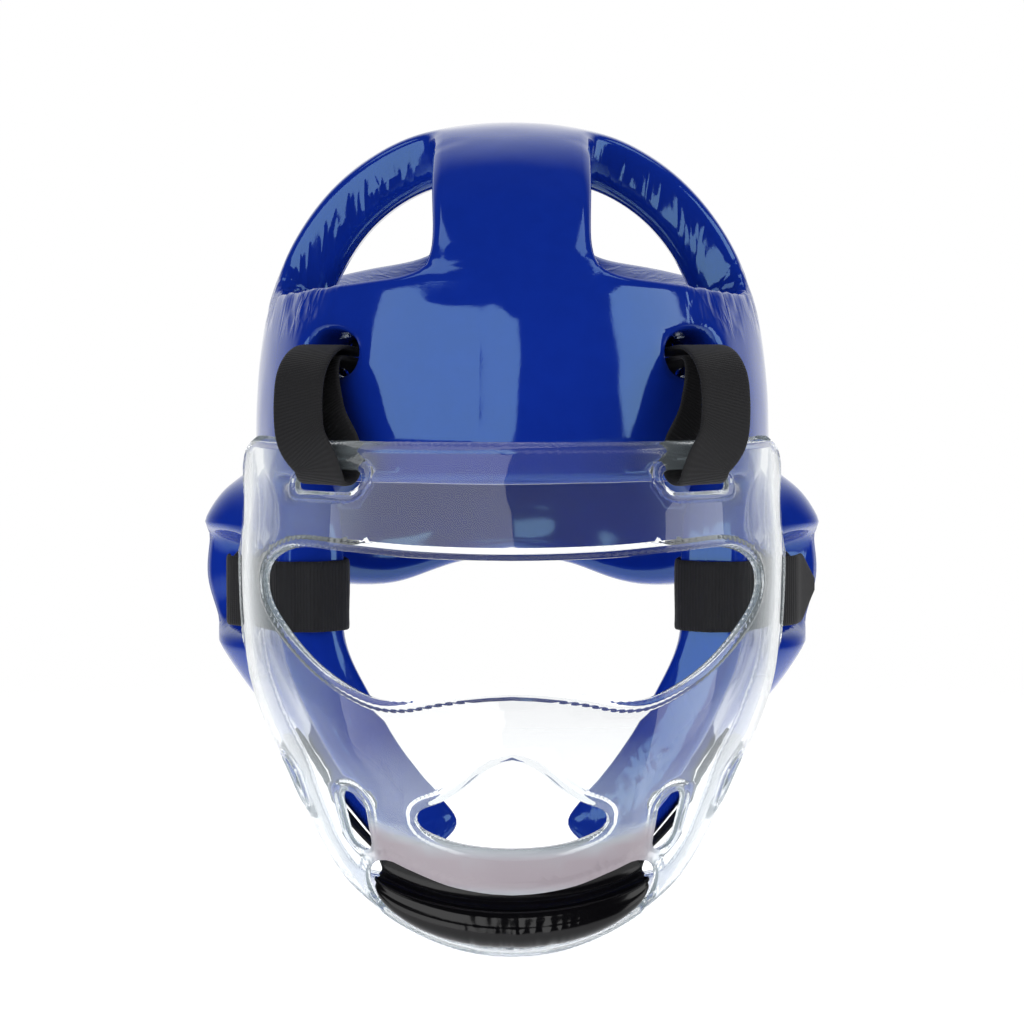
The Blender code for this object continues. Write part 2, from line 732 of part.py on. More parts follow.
def make_strap(name, route, across, width, thickness, material, trees, tip=1.0):
    """Flat strap along a route, laid clear of the surfaces it passes; across is its width's way."""
    mesh = bmesh.new()
    rows = []
    total = len(route)
    for index, place in enumerate(route):
        tangent = (route[min(index + 1, total - 1)] - route[max(index - 1, 0)]).normalized()
        side = (across - tangent * across.dot(tangent)).normalized()
        half = width / 2 * (tip if index == total - 1 else 1.0)
        rows.append([mesh.verts.new(place + side * share * half) for share in (-1, -0.33, 0.33, 1)])
    for row, following in zip(rows, rows[1:]):
        for i in range(3):
            mesh.faces.new((row[i], row[i + 1], following[i + 1], following[i]))
    settle(mesh.verts, trees, GAP + thickness / 2 + CHORD_ROOM)
    strap = finish_object(name, mesh, material)
    wall = strap.modifiers.new("Thickness", "SOLIDIFY")
    wall.thickness = thickness
    wall.offset = 0.0
    return strap


def make_brow_strap(name, side, trees, material):
    """Elastic loop: in at the forehead slot, out, down over the shield's bar and back behind it."""
    angle = (COLUMNS[SLOT_LEFT] + COLUMNS[SLOT_RIGHT]) / 2
    level = -(BROW_SLOT_TOP + BROW_SLOT_HEIGHT / 2)
    outer = skin_point(angle, level)
    out = Vector((outer.x, outer.y, 0)).normalized()
    up = Vector((0, 0, 1))
    slope = skin_point(angle, level + 0.002) - skin_point(angle, level - 0.002)
    inner = outer - (out - up * slope.dot(out) / slope.z).normalized() * PADDING
    run = on_shield(BROW_SLOT[0], BROW_SLOT[1])
    bar = shield_point(*run)
    bar_out = shield_normal(*run)
    tab_gap = GAP + ELASTIC_THICKNESS / 2 + BROW_TAB_ROOM
    points = [
        inner - out * (tab_gap + 0.0065) + up * BROW_TAB,
        inner - out * (tab_gap + 0.0020) + up * (STRAP_LAYER + 0.004),
        inner + out * 0.003 + up * STRAP_LAYER,
        outer + out * 0.002 + up * STRAP_LAYER,
        *(outer.lerp(bar, share) + out * away + up * rise for share, away, rise in BROW_OUTER_RUN),
        *(bar + bar_out * away + up * rise for away, rise in BROW_BAR_TURN),
        *(outer.lerp(bar, share) + out * away + up * rise for share, away, rise in BROW_REAR_RUN),
        outer + out * 0.004 - up * STRAP_LAYER,
        inner + out * 0.003 - up * STRAP_LAYER,
        inner - out * tab_gap - up * (STRAP_LAYER + 0.004),
        inner - out * (tab_gap + 0.0005) - up * BROW_TAB,
    ]
    route = smooth_path([Vector((side * p.x, p.y, p.z)) for p in points], 40)
    across = Vector((side * out.y, -out.x, 0))
    return make_strap(name, route, across, ELASTIC_WIDTH, ELASTIC_THICKNESS, material, trees)


def make_temple_strap(name, side, trees, material, flare):
    """Strap round the cheek piece, through the ear opening and the shield's temple slot."""
    level = -TEMPLE_DEPTH
    tree = trees[0]

    def on_shell(y, inward):
        start = Vector((0.0 if inward else HEAD_WIDTH, y, level))
        hit = tree.ray_cast(start, Vector((1 if inward else -1, 0, 0)))[0]
        return hit.x

    clear = GAP + TEMPLE_THICKNESS / 2
    front = skin_point(COLUMNS[CHEEK], level)
    hole_front = skin_point(COLUMNS[ARCH_B], level).y
    bead = (SHIELD_BEAD - SHIELD_WALL) / 2
    outside = SHIELD_HALF_WIDTH + bead + clear
    rear = SHIELD_REAR
    inner = [(on_shell(y, True) - clear, y) for y in (hole_front - 0.006, front.y + 0.022, front.y + 0.010)]
    outer = [(on_shell(y, False) + clear, y) for y in (front.y + 0.008,)]
    ahead = Vector(((inner[-1][0] + outer[0][0]) / 2, -2 * HEAD_FRONT, level))
    nose = tree.ray_cast(ahead, Vector((0, 1, 0)))[0].y
    second = TEMPLE_THICKNESS + 2 * GAP
    places = [
        (outside, TEMPLE_SLOT_Y + 0.006),
        (outside, rear - 0.004),
        (outside - 0.0015, rear + 0.004),
        ((outside + inner[0][0]) / 2, hole_front + 0.009),
        (inner[0][0] + 0.002, hole_front + 0.005),
        *inner,
        ((inner[-1][0] + outer[0][0]) / 2 - 0.004, nose - clear - 0.0012),
        ((inner[-1][0] + outer[0][0]) / 2 + 0.005, nose - clear - 0.0006),
        (outer[0][0] + 0.0005, outer[0][1] - 0.002),
        (SHIELD_HALF_WIDTH - SHIELD_WALL - bead - clear, TEMPLE_SLOT_Y - 0.002),
        (SHIELD_HALF_WIDTH - SHIELD_WALL / 2, TEMPLE_SLOT_Y + 0.0005),
        (outside + second, TEMPLE_SLOT_Y + 0.007),
        (outside + second + flare * 0.3, rear - 0.008),
        (outside + second + flare, rear + 0.007),
    ]
    route = smooth_path([Vector((side * x, y, level)) for x, y in places], 48)
    return make_strap(name, route, Vector((0, 0, 1)), TEMPLE_WIDTH, TEMPLE_THICKNESS, material,
                      trees, tip=TEMPLE_TIP)


def jaw_point(down, share):
    """Point of the jaw flap's outer cage, by share of the way down and from front to back."""
    rows = JAW_ROWS
    index = 0
    while index < len(rows) - 2 and rows[index + 1][0] < down:
        index += 1
    part = (down - rows[index][0]) / (rows[index + 1][0] - rows[index][0])
    _, front_width, back_width, front_y, back_y = (
        blend(a, b, part) for a, b in zip(rows[index], rows[index + 1]))
    half_width, front, _, _ = outer_sizes()
    return Vector((half_width * blend(front_width, back_width, share),
                   front * blend(front_y, back_y, share), -blend(JAW_START, JAW_END, down)))


def make_chin_strap(trees, material):
    """Webbing along the outer faces of both jaw flaps and under the chin."""
    tree = trees[0]
    clear = GAP + CHIN_STRAP_THICKNESS / 2 + 0.0005
    half = []
    for down in CHIN_STRAP_STATIONS:
        place = jaw_point(down, CHIN_STRAP_LINE)
        along = jaw_point(down + 0.05, CHIN_STRAP_LINE) - jaw_point(down - 0.05, CHIN_STRAP_LINE)
        out = Vector((-along.z, 0.0, along.x)).normalized()
        hit, normal, _, _ = tree.find_nearest(place + out * 0.012)
        half.append(hit + normal * clear)
    onward = (half[-1] - half[-2]).normalized() * CHIN_STRAP_FREE
    half.append(half[-1] + onward - Vector((0, 0, CHIN_STRAP_SAG)))
    chin = half[-1] - Vector((half[-1].x, CHIN_STRAP_SAG, CHIN_STRAP_SAG))
    points = [Vector((-p.x, p.y, p.z)) for p in half] + [chin] + list(reversed(half))
    route = smooth_path(points, 46)
    return make_strap("chin_strap", route, Vector((0, 1, 0)), CHIN_STRAP_WIDTH,
                      CHIN_STRAP_THICKNESS, material, trees)


def make_chin_pad(trees, material):
    """Curved cushion lying in the shield's chin and rolling out through its cut-out."""
    mesh = bmesh.new()
    rings = []
    for number in range(CHIN_PAD_STATIONS):
        share = 2 * number / (CHIN_PAD_STATIONS - 1) - 1
        swell = (1 - abs(share) ** 6) ** 0.5
        height = CHIN_PAD_HEIGHT * blend(CHIN_PAD_END, 1.0, swell)
        core = CHIN_PAD_CORE * (CHIN_PAD_HEIGHT - height)
        run_from = on_shield(CHIN_PAD_REACH * share, CHIN_PAD_DOWN - CHIN_PAD_RISE * share ** 2)
        place = shield_point(*run_from)
        normal = shield_normal(*run_from)
        slope = (shield_point(run_from[0], run_from[1] + 0.001) - place).normalized()
        rings.append([mesh.verts.new(place + slope * down * height + normal * (core + out * height))
                      for down, out in CHIN_PAD_SECTION])
    total = len(CHIN_PAD_SECTION)
    for ring, following in zip(rings, rings[1:]):
        for i in range(total):
            j = (i + 1) % total
            mesh.faces.new((ring[i], ring[j], following[j], following[i]))
    mesh.faces.new(rings[0])
    mesh.faces.new(list(reversed(rings[-1])))
    settle(mesh.verts, trees, GAP + CHORD_ROOM)
    bmesh.ops.recalc_face_normals(mesh, faces=mesh.faces)
    return finish_object("chin_pad", mesh, material)


def remove_all():
    for thing in list(bpy.data.objects):
        bpy.data.objects.remove(thing)


def main():
    remove_all()
    vinyl = make_material("blue_vinyl", (0.012, 0.045, 0.36), 0.12)
    clear = make_material("clear_plastic", (0.92, 0.93, 0.95), 0.05)
    pad = make_material("black_vinyl", (0.012, 0.012, 0.014), 0.2)
    elastic = make_material("black_elastic", (0.015, 0.015, 0.017), 0.85)
    webbing = make_material("black_webbing", (0.014, 0.014, 0.016), 0.8)
    shell = make_shell(vinyl)
    shield = make_shield(clear)
    trees = [surface_tree(shell), surface_tree(shield)]
    make_chin_pad(trees[1:], pad)
    for side, word, flare in ((-1, "right", TEMPLE_FLARE_RIGHT), (1, "left", TEMPLE_FLARE_LEFT)):
        make_brow_strap("brow_strap_" + word, side, trees, elastic)
        make_temple_strap("temple_strap_" + word, side, trees, elastic, flare)
    make_chin_strap(trees, webbing)


main()
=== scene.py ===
"""Sparring headgear with a clear face shield: the dressed model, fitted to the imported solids.

Metres, +Z up, the face looking along -Y. The origin is the point of the inner crown that rests on
the top of the head.
"""

from math import asin, ceil, cos, degrees, hypot, pi, radians, sin

import bmesh
import bpy
import numpy as np
from bpy.props import (
    BoolProperty,
    FloatProperty,
    FloatVectorProperty,
    IntProperty,
    PointerProperty,
)
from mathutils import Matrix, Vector, noise
from mathutils.bvhtree import BVHTree
from mathutils.geometry import delaunay_2d_cdt


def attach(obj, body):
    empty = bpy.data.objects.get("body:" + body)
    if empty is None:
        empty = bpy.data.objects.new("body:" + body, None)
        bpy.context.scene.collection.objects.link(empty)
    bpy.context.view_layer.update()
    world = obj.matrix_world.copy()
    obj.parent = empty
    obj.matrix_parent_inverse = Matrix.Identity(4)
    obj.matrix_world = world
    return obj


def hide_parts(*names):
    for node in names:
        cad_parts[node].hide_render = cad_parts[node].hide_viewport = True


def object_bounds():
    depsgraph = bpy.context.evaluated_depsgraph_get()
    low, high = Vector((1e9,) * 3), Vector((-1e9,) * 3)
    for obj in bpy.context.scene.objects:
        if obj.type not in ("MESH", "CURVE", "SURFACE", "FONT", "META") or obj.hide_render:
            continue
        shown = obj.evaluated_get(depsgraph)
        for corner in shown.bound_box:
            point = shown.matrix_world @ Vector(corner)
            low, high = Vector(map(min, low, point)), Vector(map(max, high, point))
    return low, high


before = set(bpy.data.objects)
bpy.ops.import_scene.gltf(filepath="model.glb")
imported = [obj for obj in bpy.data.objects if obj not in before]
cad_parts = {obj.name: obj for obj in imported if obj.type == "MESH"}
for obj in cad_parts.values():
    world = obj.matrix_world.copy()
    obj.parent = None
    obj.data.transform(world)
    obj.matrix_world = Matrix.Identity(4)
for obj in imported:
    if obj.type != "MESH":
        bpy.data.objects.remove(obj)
FIRST_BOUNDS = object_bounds()

bl_info = {
    "name": "Sparring headgear",
    "version": (1, 0, 0),
    "blender": (4, 5, 0),
    "location": "View3D > Sidebar > Headgear",
    "description": "Builds a padded sparring headgear with its clear face shield and straps",
    "category": "Object",
}


# Head form and padding
HEAD_WIDTH = 0.156
HEAD_FRONT = 0.096
HEAD_BACK = 0.101
CROWN_HEIGHT = 0.100
PADDING = 0.022
CHEEK_EXTRA = 0.004
PLAN_FULLNESS = 2.2
CROWN_FULLNESS = 2.4

# Forehead band and back of the head
BAND_TOP = 0.036
BAND_TOP_DROP = 0.010
BAND_TOP_REAR_RISE = 0.008
BAND_BOTTOM = 0.113
NAPE_EDGE = 0.158
STRIP_HALF_WIDTH = 0.030
ARCH_FRONT = 0.028
ARCH_BACK = 0.020
BROW_SLOT_TOP = 0.057
BROW_SLOT_HEIGHT = 0.019

# Ear pads, cheeks and jaw flaps
EAR_TOP = 0.122
EAR_HOLE_TOP = 0.137
EAR_HOLE_BOTTOM = 0.183
EAR_RISE = 0.031
EAR_ROUNDING = 0.14
TEMPLE_RECESS = 0.0045
JAW_START = 0.203
JAW_END = 0.259

# Ear pad rows, top to bottom: depth below the crown and share of EAR_RISE
EAR_ROWS = (
    (EAR_TOP, 0.64),
    (EAR_HOLE_TOP, 0.88),
    ((EAR_HOLE_TOP + EAR_HOLE_BOTTOM) / 2, 1.08),
    (EAR_HOLE_BOTTOM, 0.72),
)
JAW_TOP_RISE = 0.40
JAW_BOW = 0.05
EAR_WALL_SHARE = 0.80

# Crown: stations along the strip as shares of the way from arch to band, how near the band they
# end as a share of the depth, and stations down the arch as shares of the half width
STRIP_STATIONS = (0.205, 0.455, 0.705)
STRIP_REACH = 0.92
ARCH_STATIONS = (0.50, 0.70, 0.85)
ARCH_TAPER = 0.15

# Shield
SHIELD_WALL = 0.0025
SHIELD_BEAD = 0.0045
SHIELD_SIDE_ROOM = 0.0045
SHIELD_FRONT_ROOM = 0.0225
SHIELD_HALF_WIDTH = HEAD_WIDTH / 2 + PADDING + SHIELD_SIDE_ROOM
SHIELD_REACH = HEAD_FRONT + PADDING + SHIELD_FRONT_ROOM
SHIELD_TOP = 0.097
SHIELD_BOTTOM = 0.2805
SHIELD_REAR = -0.008
SHIELD_FULLNESS = 2.8
SHIELD_CORNER = 0.010
BEAD_WIDTH = 0.0045

# Straps
ELASTIC_WIDTH = 0.022
ELASTIC_THICKNESS = 0.0015
TEMPLE_WIDTH = 0.0267
TEMPLE_THICKNESS = 0.0016
CHIN_STRAP_WIDTH = 0.020
CHIN_STRAP_THICKNESS = 0.0016
STRAP_LAYER = 0.0022
BROW_TAB = 0.017
BROW_TAB_ROOM = 0.0012
TEMPLE_TIP = 0.20
TEMPLE_FLARE_RIGHT = 0.0015
TEMPLE_FLARE_LEFT = 0.009

# Brow strap past the forehead slot, all the way round the shield's bar. First its outer run, then
# its turn round the bar, then its way back behind.
BROW_OUTER_RUN = (
    # share of the way from slot to bar, out, up
    (0.25, 0.0130, 0.004),
    (0.60, 0.0140, 0.000),
)
BROW_BAR_TURN = (
    # out from the bar's outer face, up
    (0.0055, 0.0060),
    (0.0015, -0.0008),
    (-SHIELD_WALL - 0.0030, 0.0010),
    (-SHIELD_WALL - 0.0050, 0.0100),
)
BROW_REAR_RUN = (
    (0.45, 0.0030, 0.000),
)

# Chin strap: its line on the jaw flap from front (0) to back (1), its stations down the flap, how
# far it runs on past the flap's end, and how much it hangs at the middle
CHIN_STRAP_LINE = 0.36
CHIN_STRAP_STATIONS = (0.20, 0.36, 0.54, 0.72, 0.90)
CHIN_STRAP_FREE = 0.014
CHIN_STRAP_SAG = 0.003

# Chin pad: how far out it reaches as a share of the shield's half width, its line's place down the
# shield and how much its ends rise as shares of the shield's height, its ends' size as a share of
# the middle's, and how far behind the shield's face its core lies, as a share of its height
CHIN_PAD_HEIGHT = 0.035
CHIN_PAD_REACH = 0.4760
CHIN_PAD_DOWN = 0.8900
CHIN_PAD_RISE = 0.0526
CHIN_PAD_END = 0.60
CHIN_PAD_CORE = -0.15

# Chin pad section: way down and distance out from its line on the shield's face, as shares of the
# pad's height
CHIN_PAD_SECTION = (
    (-0.52, -0.20), (-0.22, -0.19), (-0.03, -0.17), (0.05, 0.04), (0.17, 0.11), (0.30, 0.12),
    (0.40, 0.03), (0.43, -0.11), (0.36, -0.28), (0.12, -0.42), (-0.20, -0.44), (-0.48, -0.36),
)

# Gap between touching pieces, and the room that flat facets need over a curved surface
GAP = 0.0003
CHORD_ROOM = 0.0009
SETTLE_ROUNDS = 5

# Columns of the shell's right half: degrees from the front (0) round to the back (180)
COLUMNS = (0, 16, 33, 51, 65, 77, 88, 98, 109, 123, 143, 164, 180)
STRIP_FRONT, SLOT_LEFT, SLOT_RIGHT, CHEEK, ARCH_A = 1, 2, 3, 4, 5
ARCH_B, ARCH_C, EAR_BACK, SIDE_BACK, STRIP_BACK = 6, 7, 8, 9, 11
LAST = len(COLUMNS) - 1

# Rise of the ear pad at the columns behind the cheek, as shares of EAR_RISE
EAR_COLUMN_RISE = {ARCH_C: 1.0, EAR_BACK: 1.0, SIDE_BACK: 0.60}

# Depth of the nape's lower edge at the rear columns, as shares of NAPE_EDGE
NAPE_SHARES = {SIDE_BACK + 1: 1.085, STRIP_BACK: 0.995, LAST: 1.00}

# Rows of the shell's right half: the one below the eyes' upper edge, the ear opening's two, and
# the first jaw row
CHEEK_ROW = 4
EAR_HOLE_ROWS = (6, 7)
NAPE_ROW = 7
JAW_ROW = 9

# Jaw rows: share of the way from JAW_START to JAW_END, outer half width at the front and back
# edges as shares of the outer half width, and y of both edges as shares of the front depth
JAW_ROWS = (
    # down, front_width, back_width, front_y, back_y
    (0.00, 0.770, 0.965, -0.460, 0.500),
    (0.37, 0.655, 0.850, -0.520, 0.250),
    (0.70, 0.500, 0.660, -0.570, -0.020),
    (1.00, 0.345, 0.460, -0.610, -0.280),
)

# Shield profile, top to bottom: depth below the crown and half width as shares of the shield's,
# front y and side y as shares of the reach, how far round the plan curve runs in degrees, and how
# much the row's ends lift above its middle, as a share of the shield's height
SHIELD_PROFILE = (
    # down, half_width, front_y, side_y, round, lift
    (0.000, 0.970, -0.910, -0.060, 66, 0.000),
    (0.045, 0.976, -0.915, -0.057, 77, 0.000),
    (0.130, 0.982, -0.922, -0.057, 88, 0.000),
    (0.290, 0.996, -0.948, -0.057, 90, 0.000),
    (0.480, 0.970, -0.975, -0.060, 90, 0.000),
    (0.595, 0.905, -0.990, -0.100, 90, 0.000),
    (0.690, 0.820, -0.998, -0.180, 90, 0.010),
    (0.780, 0.750, -1.000, -0.300, 90, 0.030),
    (0.855, 0.695, -1.000, -0.420, 90, 0.060),
    (0.920, 0.645, -0.998, -0.520, 90, 0.090),
    (0.965, 0.600, -0.985, -0.580, 90, 0.108),
    (0.990, 0.550, -0.950, -0.610, 90, 0.115),
    (1.000, 0.490, -0.870, -0.620, 90, 0.115),
    (1.000, 0.410, -0.770, -0.630, 90, 0.110),
)
SHIELD_GIRTH = 1.6 * SHIELD_HALF_WIDTH

# Openings of the shield's right half, clockwise from the top: share of its half width out from
# the middle, and share of its height down from its top
EYE_OUTLINE = (
    (0.0000, 0.2271), (0.3143, 0.2227), (0.5714, 0.2133), (0.7524, 0.2116),
    (0.8524, 0.2493), (0.8619, 0.3102), (0.7905, 0.3712), (0.6571, 0.4404),
    (0.5000, 0.4875), (0.3810, 0.4964), (0.2286, 0.4809), (0.0000, 0.4698),
)
NOSE_OUTLINE = (
    (0.0000, 0.6083), (0.0810, 0.6249), (0.1571, 0.6593), (0.2381, 0.6881),
    (0.3048, 0.7036), (0.3286, 0.7213), (0.2952, 0.7452), (0.1714, 0.7690),
    (0.0000, 0.7778),
)
CHIN_OUTLINE = (
    (0.0000, 0.8670), (0.1905, 0.8532), (0.3429, 0.8227), (0.4250, 0.8061),
    (0.4930, 0.8227), (0.4880, 0.8700), (0.4250, 0.9146), (0.2286, 0.9682),
    (0.0000, 0.9846),
)

# Slots and vents on each side of the shield: centre as in the outlines, then the opening's width
# and height measured on the shield in metres, and its lean in degrees
BROW_SLOT = (0.6381, 0.0776, 0.0290, 0.0080, 0)
FRONT_VENT = (0.5333, 0.7368, 0.0120, 0.0235, -8)
SIDE_VENT = (0.7571, 0.6870, 0.0100, 0.0190, -22)
TEMPLE_SLOT_Y = -0.032
TEMPLE_SLOT_WIDTH = 0.0085
TEMPLE_DEPTH = (EAR_HOLE_TOP + EAR_HOLE_BOTTOM) / 2 - 0.001
TEMPLE_SLOT_HEIGHT = TEMPLE_WIDTH + 0.010


# Finer sizes that only the dressed model has: how sharp the padding's outer and inner rims are, the
# rings of points across a bead as shares of its width, and the spacing of the sheet between beads
RIM_CREASE = 0.42
INNER_CREASE = 0.30
BEAD_RINGS = (0.12, 0.32, 0.5, 0.68, 0.88, 1.0)
FINE_SPACING = 0.0042

# Steps between the given points of closed outlines and of the straps' routes
LOOP_STEPS = 8
PATH_STEPS = 10

# Straps: columns across, stations along each, the tip's length as a share of the width, how square
# the selvedges are, and how thin they get
STRAP_COLUMNS = 13
STATIONS = {"brow": 150, "temple": 170, "chin": 150}
TIP_LENGTH = 0.55
SELVEDGE_POWER = 24
SELVEDGE_LEAST = 0.3

# Painted shade and painted reflection over the shield's chin: a milky sheet that stands for the
# shaded inner floor of the chin seen through the clear wall. From the nose opening to the cut-out,
# as shares of the shield's height, its reach to each side as a share of the half width, how much it
# bows up, and how softly it begins and ends
SHADE_ZONE_TOP = 0.785
SHADE_ZONE_BOTTOM = 0.868
SHADE_ZONE_REACH = 0.46
SHADE_ZONE_BOW = 0.012
SHADE_ZONE_BLUR = 0.004

# Painted pale blue reflection of the white ground on the shield, laid on as a faint milky haze: how
# strong it is at the forehead's middle and how much more beside it, between which distances from the
# middle it grows, and between which shares of the profile's length
PAINTED_REFLECTION_LEAST = 0.12
PAINTED_REFLECTION_SIDE = 0.5
PAINTED_REFLECTION_FROM, PAINTED_REFLECTION_TO = 0.035, 0.075
PAINTED_REFLECTION_BELOW, PAINTED_REFLECTION_FULL = 0.45, 0.62

# Folds pressed into the vinyl of the right half: where each group lies on the outer skin, which way
# its folds run, how many there are, and their length, pitch and depth
FOLDS = (
    # x, y, z, run_x, run_y, run_z, count, length, pitch, depth
    (0.020, -0.112, -0.033, 1.0, 0.0, 0.22, 2, 0.034, 0.0090, 0.0007),
    (0.028, -0.050, 0.010, 1.0, -0.6, 0.2, 2, 0.014, 0.0060, 0.0006),
    (0.030, 0.040, 0.014, 1.0, 0.6, 0.2, 3, 0.016, 0.0060, 0.0008),
    (0.082, -0.072, -0.046, 0.1, 0.1, 1.0, 5, 0.022, 0.0066, 0.0008),
    (0.092, -0.020, -0.045, 0.2, 0.0, 1.0, 6, 0.024, 0.0070, 0.0009),
    (0.092, 0.018, -0.045, 0.2, 0.0, 1.0, 6, 0.024, 0.0070, 0.0009),
)

# How deep through the wall a group's folds still press, then a fold's half width and how far it
# wanders as shares of its pitch. How far the skin bunches round a group as a share of its width, how
# strongly, and how many of the first groups lie on skin that doesn't bunch
FOLD_REACH = 0.012
FOLD_SHARE = 0.24
FOLD_WANDER = 0.35
BUNCHING_SPREAD = 0.6
BUNCHING = 0.6
SMOOTH_GROUPS = 2

# Long dent in the middle of the forehead: x, z, half width, half height and depth, and the plane
# that it lies in front of
FOREHEAD_CREASE = (-0.0068, -0.074, 0.0034, 0.027, 0.0008)
FOREHEAD_PLANE = -0.09

# Swelling of the skin: waves per metre of its slow and its quicker unevenness, and how strongly its
# rims bunch
SLOW_SWELLING = 24
QUICK_SWELLING = 61
RIM_BUNCHING = 0.30

# Rolls pressed along the chin pad, and each one's half width as a share of its section's way round
PAD_FOLDS = (
    # place round the section, depth share, bend along the pad
    (0.245, 1.0, 0.010),
    (0.335, 0.6, -0.012),
)
PAD_FOLD_HALF = 0.016

# Ripples on the chin pad's face: half their reach along the pad, their middle and half their reach
# round its section, how many noise waves they have along and round it, and their depth share
PAD_RIPPLES = (0.55, 0.40, 0.13, 34, 5, 0.9)

# Chin pad's mesh: rings along it, points round each, and the share of its length that they span
PAD_RINGS = 97
PAD_RING_POINTS = 72
PAD_SPAN = 0.999

# Lamps: bearing from the camera's side in degrees, rise above the middle, distance, width, height,
# brightness, and whether glossy pieces mirror it
STUDIO_LAMPS = (
    # name, bearing, rise, distance, width, height, glow, mirrored
    ("broad_lamp_left", -33, 0.28, 1.5, 1.95, 1.50, 2.4, True),
    ("broad_lamp_right", 68, 0.28, 1.5, 1.15, 1.50, 2.6, True),
    ("high_lamp_left", -58, 1.30, 0.8, 0.80, 0.30, 1.8, True),
    ("high_lamp_right", 62, 1.30, 0.8, 0.80, 0.30, 1.8, True),
    ("top_lamp", 180, 1.55, 0.7, 1.60, 1.60, 2.2, False),
)

# World: where it is dim and from where it is white, between the camera's side (-1) and the far side
# of the headgear (1)
DIM_TO = 0.30
WHITE_FROM = 0.90

# Ground: how far it lies below the headgear, its reach, and its mesh's rings and spokes
GROUND_DROP = 0.03
GROUND_RADIUS = 1.6
GROUND_RINGS = 24
GROUND_SPOKES = 64

# Camera: height above the crown's inner point, focal length in pixels of its frame, the frame's
# width in pixels, and the sensor's width in millimetres
CAMERA_HEIGHT = -0.038
CAMERA_PIXELS = 3330.0
FRAME_PIXELS = 1024.0
SENSOR_WIDTH = 36.0


def power_wave(value, fullness):
    """Raise a sine or cosine to the power that makes a superellipse."""
    size = abs(value) ** (2 / fullness)
    return size if value >= 0 else -size


def outer_sizes():
    """Outer half width, front depth, back depth and crown height of the padding."""
    return tuple(size + PADDING for size in (HEAD_WIDTH / 2, HEAD_FRONT, HEAD_BACK, CROWN_HEIGHT))


def skin_point(angle, z):
    """Point of the outer skin at an angle from the front and a height."""
    half_width, front, back, height = outer_sizes()
    rise = max(0.0, (z + CROWN_HEIGHT) / height)
    share = (1 - min(rise, 1.0) ** CROWN_FULLNESS) ** (1 / CROWN_FULLNESS)
    across = power_wave(sin(radians(angle)), PLAN_FULLNESS)
    along = power_wave(cos(radians(angle)), PLAN_FULLNESS)
    depth = front if along > 0 else back
    return Vector((half_width * share * across, -depth * share * along, z))


def crown_point(x, y):
    """Point of the outer skin over a place on the crown."""
    half_width, front, back, height = outer_sizes()
    depth = front if y < 0 else back
    share = abs(x / half_width) ** PLAN_FULLNESS + abs(y / depth) ** PLAN_FULLNESS
    share = share ** (1 / PLAN_FULLNESS)
    z = height * (1 - min(share, 1.0) ** CROWN_FULLNESS) ** (1 / CROWN_FULLNESS) - CROWN_HEIGHT
    return Vector((x, y, z))


def blend(start, end, share):
    """Value at a share of the way from start to end."""
    return start + (end - start) * share


def band_top(angle):
    """Height of the band's top edge at an angle from the front."""
    turn = radians(angle)
    return -BAND_TOP - BAND_TOP_DROP * sin(turn) ** 2 + BAND_TOP_REAR_RISE * max(0.0, -cos(turn))


def shell_rows():
    """Outer points of the right half, row by row: a dictionary of (row, column)."""
    points = {}
    slot_bottom = BROW_SLOT_TOP + BROW_SLOT_HEIGHT
    rows = (None, BROW_SLOT_TOP, slot_bottom, (slot_bottom + BAND_BOTTOM) / 2, BAND_BOTTOM)
    for row, depth in enumerate(rows):
        for column, angle in enumerate(COLUMNS):
            z = -depth if depth else band_top(angle)
            points[row, column] = skin_point(angle, z)
    for row, (depth, rise) in enumerate(EAR_ROWS, start=CHEEK_ROW + 1):
        for column in range(CHEEK, (LAST if row <= NAPE_ROW else SIDE_BACK) + 1):
            edge = NAPE_EDGE * NAPE_SHARES.get(column, 0.0)
            level = depth
            if edge and row == NAPE_ROW:
                level = edge
            elif edge and row == NAPE_ROW - 1:
                level = (BAND_BOTTOM + edge) / 2
            point = skin_point(COLUMNS[column], -level)
            point.x += EAR_RISE * rise * EAR_COLUMN_RISE.get(column, 0.0)
            if column <= ARCH_B:
                point.x -= TEMPLE_RECESS
            points[row, column] = point
    ear_centre = points[7, ARCH_C]
    for key in ((6, ARCH_B), (6, EAR_BACK), (8, ARCH_B), (8, EAR_BACK)):
        points[key] = points[key].lerp(ear_centre, EAR_ROUNDING)
    half_width, front, _, _ = outer_sizes()
    for row, (down, front_width, back_width, front_y, back_y) in enumerate(JAW_ROWS, start=JAW_ROW):
        for column in range(CHEEK, SIDE_BACK + 1):
            share = (column - CHEEK) / (SIDE_BACK - CHEEK)
            bow = JAW_BOW * sin(pi * share)
            x = half_width * (blend(front_width, back_width, share) + bow)
            if row == JAW_ROW:
                x += EAR_RISE * JAW_TOP_RISE * EAR_COLUMN_RISE.get(column, 0.0)
            y = front * blend(front_y, back_y, share)
            points[row, column] = Vector((x, y, -blend(JAW_START, JAW_END, down)))
    return points


def shell_cells():
    """Corner keys of every cell of the right half that holds padding."""
    cells = []
    for row in range(JAW_ROW + len(JAW_ROWS) - 1):
        first = 0 if row < CHEEK_ROW else CHEEK
        last = LAST if row < NAPE_ROW else SIDE_BACK
        for column in range(first, last):
            in_brow_slot = row == 1 and column == SLOT_LEFT
            in_ear = row in EAR_HOLE_ROWS and column in (ARCH_B, ARCH_C)
            if not in_brow_slot and not in_ear:
                cells.append(((row, column), (row + 1, column),
                              (row + 1, column + 1), (row, column + 1)))
    return cells


